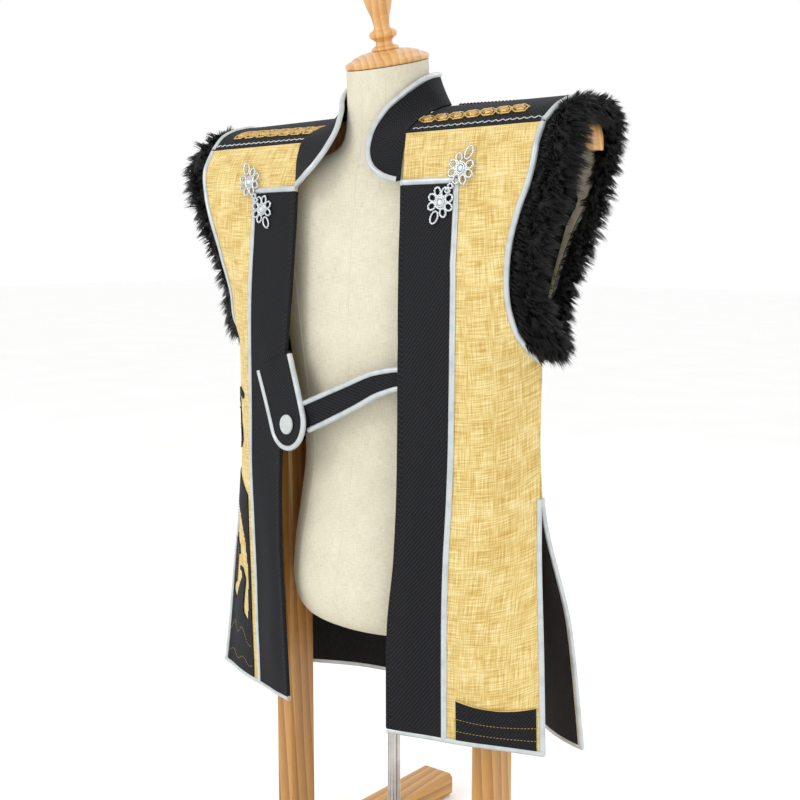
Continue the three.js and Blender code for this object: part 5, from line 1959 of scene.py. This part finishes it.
        piece.data.polygons.foreach_set("use_smooth", [True] * len(faces))
        return piece


# ---- the display ----
@dataclass
class Stand:
    """The dress form with its turned wooden cap, the arms, the pole and base, and the wooden frame."""

    dresser: Wardrobe
    neck: tuple[float, float, float] = (FORM_X, -9.0, SHOULDER + 100)
    neck_lean: float = 14.0
    cap: tuple = ((53, 0.5), (55.4, 1.2), (56.4, 3.6), (56, 7), (53.4, 8.4), (46, 11.8), (44.6, 12.4),
                  (44, 13.2), (33, 17), (24, 18.6), (22, 19))  # turned pieces: radius and height
    finial: tuple = ((18, 19.3), (18.4, 21), (17.2, 23), (12, 26), (11, 30), (14, 33.5), (18, 37), (18.5, 41),
                     (16, 44), (12, 46), (10.5, 50), (12, 60), (17, 76), (20.5, 94), (18, 108), (9, 119),
                     (2, 122))
    pole: tuple = ((8, 44.3), (9, 45.3), (9, 300), (9, SHOULDER - 659.5), (8, SHOULDER - 658.6))
    base: tuple = ((139, 0), (140, 1), (140, 5), (138.6, 7), (136, 8), (90, 9.4), (40, 11), (30, 12.6),
                   (22, 17), (18, 22), (17, 28), (16.6, 40), (16, 43.2), (15, 44))
    seams_down: tuple = (("front", 0.25), ("left", 0.345), ("right", 0.155), ("back", 0.75))  # of a turn
    seams_round: tuple = (("neck", -26.0), ("shoulder", 3.0))  # drops
    arm_start: float = 106.0
    arm_long: float = 194.0
    arm_top: tuple = ((130, 37.2), (258, 37.6), (272, 31), (284, 20), (294, 4), (300, -12))
    arm_y: tuple[float, float] = (14.0, 46.0)
    arm_low: float = -22.2
    arm_round: float = 278.0  # where an arm's outer end begins to round off, and where it would close
    arm_close: float = 302.0

    def build(self, nodes: dict[str, Piece]) -> None:
        """Builds the new pieces and finishes the solids that stay. Args: nodes: the solids by name."""
        self.form()
        self.turnings()
        for side, name in SIDES.items():
            self.arm(side, name)
        for name, finish in {"post_left": "pine", "post_right": "pine", "foot_left": "foot",
                             "foot_right": "foot", "rail": "rail"}.items():
            self.dresser.finish_node(nodes[name], finish)

    def form(self) -> None:
        """The linen-covered form and its seams."""
        surface = Surface(form_place, (0, 1), (FORM_TOP, FORM_FOOT), (0.8, -0.6, 0), settled=False)
        rows = 150

        def place(s: Array, t: Array) -> Array:
            """Points of the form, drawn in to its middle at both ends."""
            j = np.rint(t * rows)
            drop = FORM_TOP + np.clip((j - 3) / (rows - 6), 0, 1) * (FORM_FOOT - FORM_TOP)
            shrink = np.clip(np.minimum(j, rows - j) / 3, 0, 1) ** 0.5
            points = form_place(once_round(s), drop)
            middle = xyz(np.full_like(drop, FORM_X), FORM("y", drop), SHOULDER - drop)
            return middle + (points - middle) * shrink[:, None]

        flat = (1.0, 0.78)  # metres of cloth round it and down it
        piece = closed(grid_piece("linen_form", (112, rows), place, lambda s, t: np.stack([s, t], -1) * flat))
        self.dresser.dress(piece, "linen", "linen", "form")
        run = np.linspace(-92, 640, 120)
        for name, turn in self.seams_down:
            seam = strip(f"seam_{name}", surface, (np.full(120, turn), run), (1, 0), FORM_SEAM, 0)
            self.dresser.dress(seam, "linen", "linen")
        round_it = np.linspace(0.001, 0.999, 90)
        for name, drop in self.seams_round:
            seam = strip(f"seam_{name}", surface, (round_it, np.full(90, drop)), (0, 1), FORM_SEAM, 0)
            self.dresser.dress(seam, "linen", "linen")

    def turned(self, name: str, x: float, y: float, profile: Sequence[tuple[float, float]], sides: int
               ) -> Piece:
        """Turns a piece as on a lathe, ring by ring.

        Args:
            name: the piece's name.
            x, y: the place of its axis.
            profile: radius and height of each ring, from the foot up.
            sides: faces round it.

        Returns:
            The closed piece.
        """
        deselect()
        radius, z = profile[0]
        bpy.ops.mesh.primitive_circle_add(vertices=sides, radius=radius * MM, fill_type="NGON",
                                          location=(x * MM, y * MM, z * MM))
        piece = bpy.context.object
        piece.name = piece.data.name = name
        bpy.ops.object.transform_apply(location=True, rotation=False, scale=False)
        bpy.ops.object.mode_set(mode="EDIT")
        bpy.ops.mesh.select_all(action="SELECT")
        for wide, high in profile[1:]:
            bpy.ops.mesh.extrude_region_move(TRANSFORM_OT_translate={"value": (0, 0, (high - z) * MM)})
            bpy.ops.transform.resize(value=(wide / radius, wide / radius, 1),
                                     center_override=(x * MM, y * MM, high * MM))
            radius, z = wide, high
        bpy.ops.mesh.select_all(action="SELECT")
        bpy.ops.mesh.normals_make_consistent(inside=False)
        bpy.ops.object.mode_set(mode="OBJECT")
        smooth(piece, 35)
        return piece

    @staticmethod
    def rounded_profile(rows: Sequence[tuple[float, float]], count: int) -> list[tuple[float, float]]:
        """A smooth outline. Args: rows: radius and height, in order. count: rings. Returns: those."""
        table = Table("at radius z", [[k, *row] for k, row in enumerate(rows)])
        at = np.linspace(0, len(rows) - 1, count)
        return [(max(float(r), 0.3), float(z)) for r, z in zip(table("radius", at), table("z", at))]

    def turnings(self) -> None:
        """The neck cap, the finial, the pole and the base."""
        x, y, z = self.neck
        lean = Matrix.Rotation(math.radians(self.neck_lean), 4, "X")
        pivot = Vector((x * MM, y * MM, z * MM))
        for name, node, rows, count, sides in (("turned_cap", "neck_cap", self.cap, 50, 72),
                                               ("turned_finial", "finial", self.finial, 90, 48)):
            profile = self.rounded_profile([(r, z + h) for r, h in rows], count)
            piece = self.turned(name, x, y, profile, sides)
            piece.data.transform(Matrix.Translation(pivot) @ lean @ Matrix.Translation(-pivot))
            self.dresser.dress(piece, "wood", "turned_wood", node)
        self.dresser.dress(self.turned("chromed_pole", 0, 0, self.pole, 40), "chrome", "steel", "pole")
        self.dresser.dress(self.turned("brushed_base", 0, 0, self.base, 96), "cast", "steel", "base")

    def arm(self, side: int, name: str) -> None:
        """A wooden arm with a rounded outer end. Args: side, name."""
        table = Table("x top", self.arm_top)
        rows, sides = 40, 32
        low = SHOULDER + self.arm_low
        y0, y1 = self.arm_y

        def place(s: Array, t: Array) -> Array:
            """Points of the arm, a flat bar with soft upper edges, drawn to its middle at both ends."""
            j = np.rint(t * rows)
            x = self.arm_start + np.clip((j - 1) / (rows - 2), 0, 1) ** 0.6 * self.arm_long
            top = SHOULDER + table("top", np.maximum(x, self.arm_top[0][0])) + ROLL * x * side
            cap = (j == 0) | (j == rows)
            turn = once_round(s) * 2 * math.pi
            cos, sin = np.cos(turn), np.sin(turn)
            soft = np.where(sin > 0, 0.5, 0.14)
            narrow = np.clip(x - self.arm_round, 0, None) / (self.arm_close - self.arm_round)
            wide = (y1 - y0) / 2 * np.sqrt(1 - narrow ** 2)
            y = (y0 + y1) / 2 + wide * np.sign(cos) * np.abs(cos) ** soft
            z = (low + top) / 2 + (top - low) / 2 * np.sign(sin) * np.abs(sin) ** soft
            return xyz(side * x, np.where(cap, (y0 + y1) / 2, y), np.where(cap, (low + top) / 2, z))

        piece = closed(grid_piece(f"wooden_arm_{name}", (sides, rows), place))
        self.dresser.dress(piece, "wood", "pine", f"arm_{name}")


@dataclass(frozen=True)
class Lamp:
    """A square soft light: its place and size in metres, and its power in watts."""

    name: str
    place: tuple[float, float, float]
    size: float
    power: float


@dataclass
class Studio:
    """A pale floor, soft lights and the camera. The camera's turn and tilt are in degrees."""

    turn: float = 38.631
    tilt: float = 7.575
    distance: float = 1.707
    target: tuple[float, float, float] = (0.011, 0.0, 0.77)
    lens: float = 55.77
    lamps: tuple[Lamp, ...] = (Lamp("key", (-1.3, -3.0, 2.6), 1.6, 31),
                               Lamp("fill", (3.0, -1.6, 1.7), 2.2, 17),
                               Lamp("rim", (0.4, 2.6, 2.6), 1.6, 10))
    aim: tuple[float, float, float] = (0, 0, 0.85)

    def build(self, dresser: Wardrobe) -> None:
        """Sets the camera, lights and floor. Args: dresser: the finishes."""
        scene = bpy.context.scene
        turn, tilt = math.radians(self.turn), math.radians(self.tilt)
        back = Vector((math.sin(turn) * math.cos(tilt), -math.cos(turn) * math.cos(tilt), math.sin(tilt)))
        data = bpy.data.cameras.new("camera")
        data.lens, data.sensor_width, data.sensor_fit = self.lens, 36, "HORIZONTAL"
        camera = bpy.data.objects.new("camera", data)
        camera.location = Vector(self.target) + back * self.distance
        camera.rotation_euler = back.to_track_quat("Z", "Y").to_euler()
        scene.collection.objects.link(camera)
        scene.camera = camera
        deselect()
        bpy.ops.mesh.primitive_plane_add(size=40, location=(0, 0, -0.0005))
        floor = bpy.context.object
        floor.name = "floor"
        bpy.ops.object.transform_apply(location=True)
        floor.data.materials.append(dresser.materials["floor"])
        floor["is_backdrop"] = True
        world = bpy.data.worlds.new("studio")
        world.use_nodes = True
        world.node_tree.nodes["Background"].inputs[0].default_value = (1, 1, 1, 1)
        world.node_tree.nodes["Background"].inputs[1].default_value = 1.0
        scene.world = world
        scene.view_settings.view_transform = "Standard"
        for lamp in self.lamps:
            data = bpy.data.lights.new(lamp.name, "AREA")
            data.size, data.energy = lamp.size, lamp.power
            light = bpy.data.objects.new(lamp.name, data)
            light.location = lamp.place
            light.rotation_euler = (Vector(lamp.place) - Vector(self.aim)).to_track_quat("Z", "Y").to_euler()
            scene.collection.objects.link(light)


def main() -> None:
    """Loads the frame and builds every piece."""
    logging.basicConfig(level=logging.INFO, format="%(message)s")
    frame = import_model()
    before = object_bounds()
    dresser = Wardrobe()
    Studio().build(dresser)
    fronts = Fronts(dresser)
    fronts.build()
    fronts.border()
    Appliques(dresser, fronts).build()
    fronts.declare()
    Back(dresser).build()
    Shoulders(dresser).build()
    Closure(dresser, fronts).build()
    Fur(dresser, fronts).build()
    Stand(dresser).build(frame["nodes"])
    [[list(corner) for corner in box] for box in (before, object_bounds())]


if __name__ == "__main__":
    main()
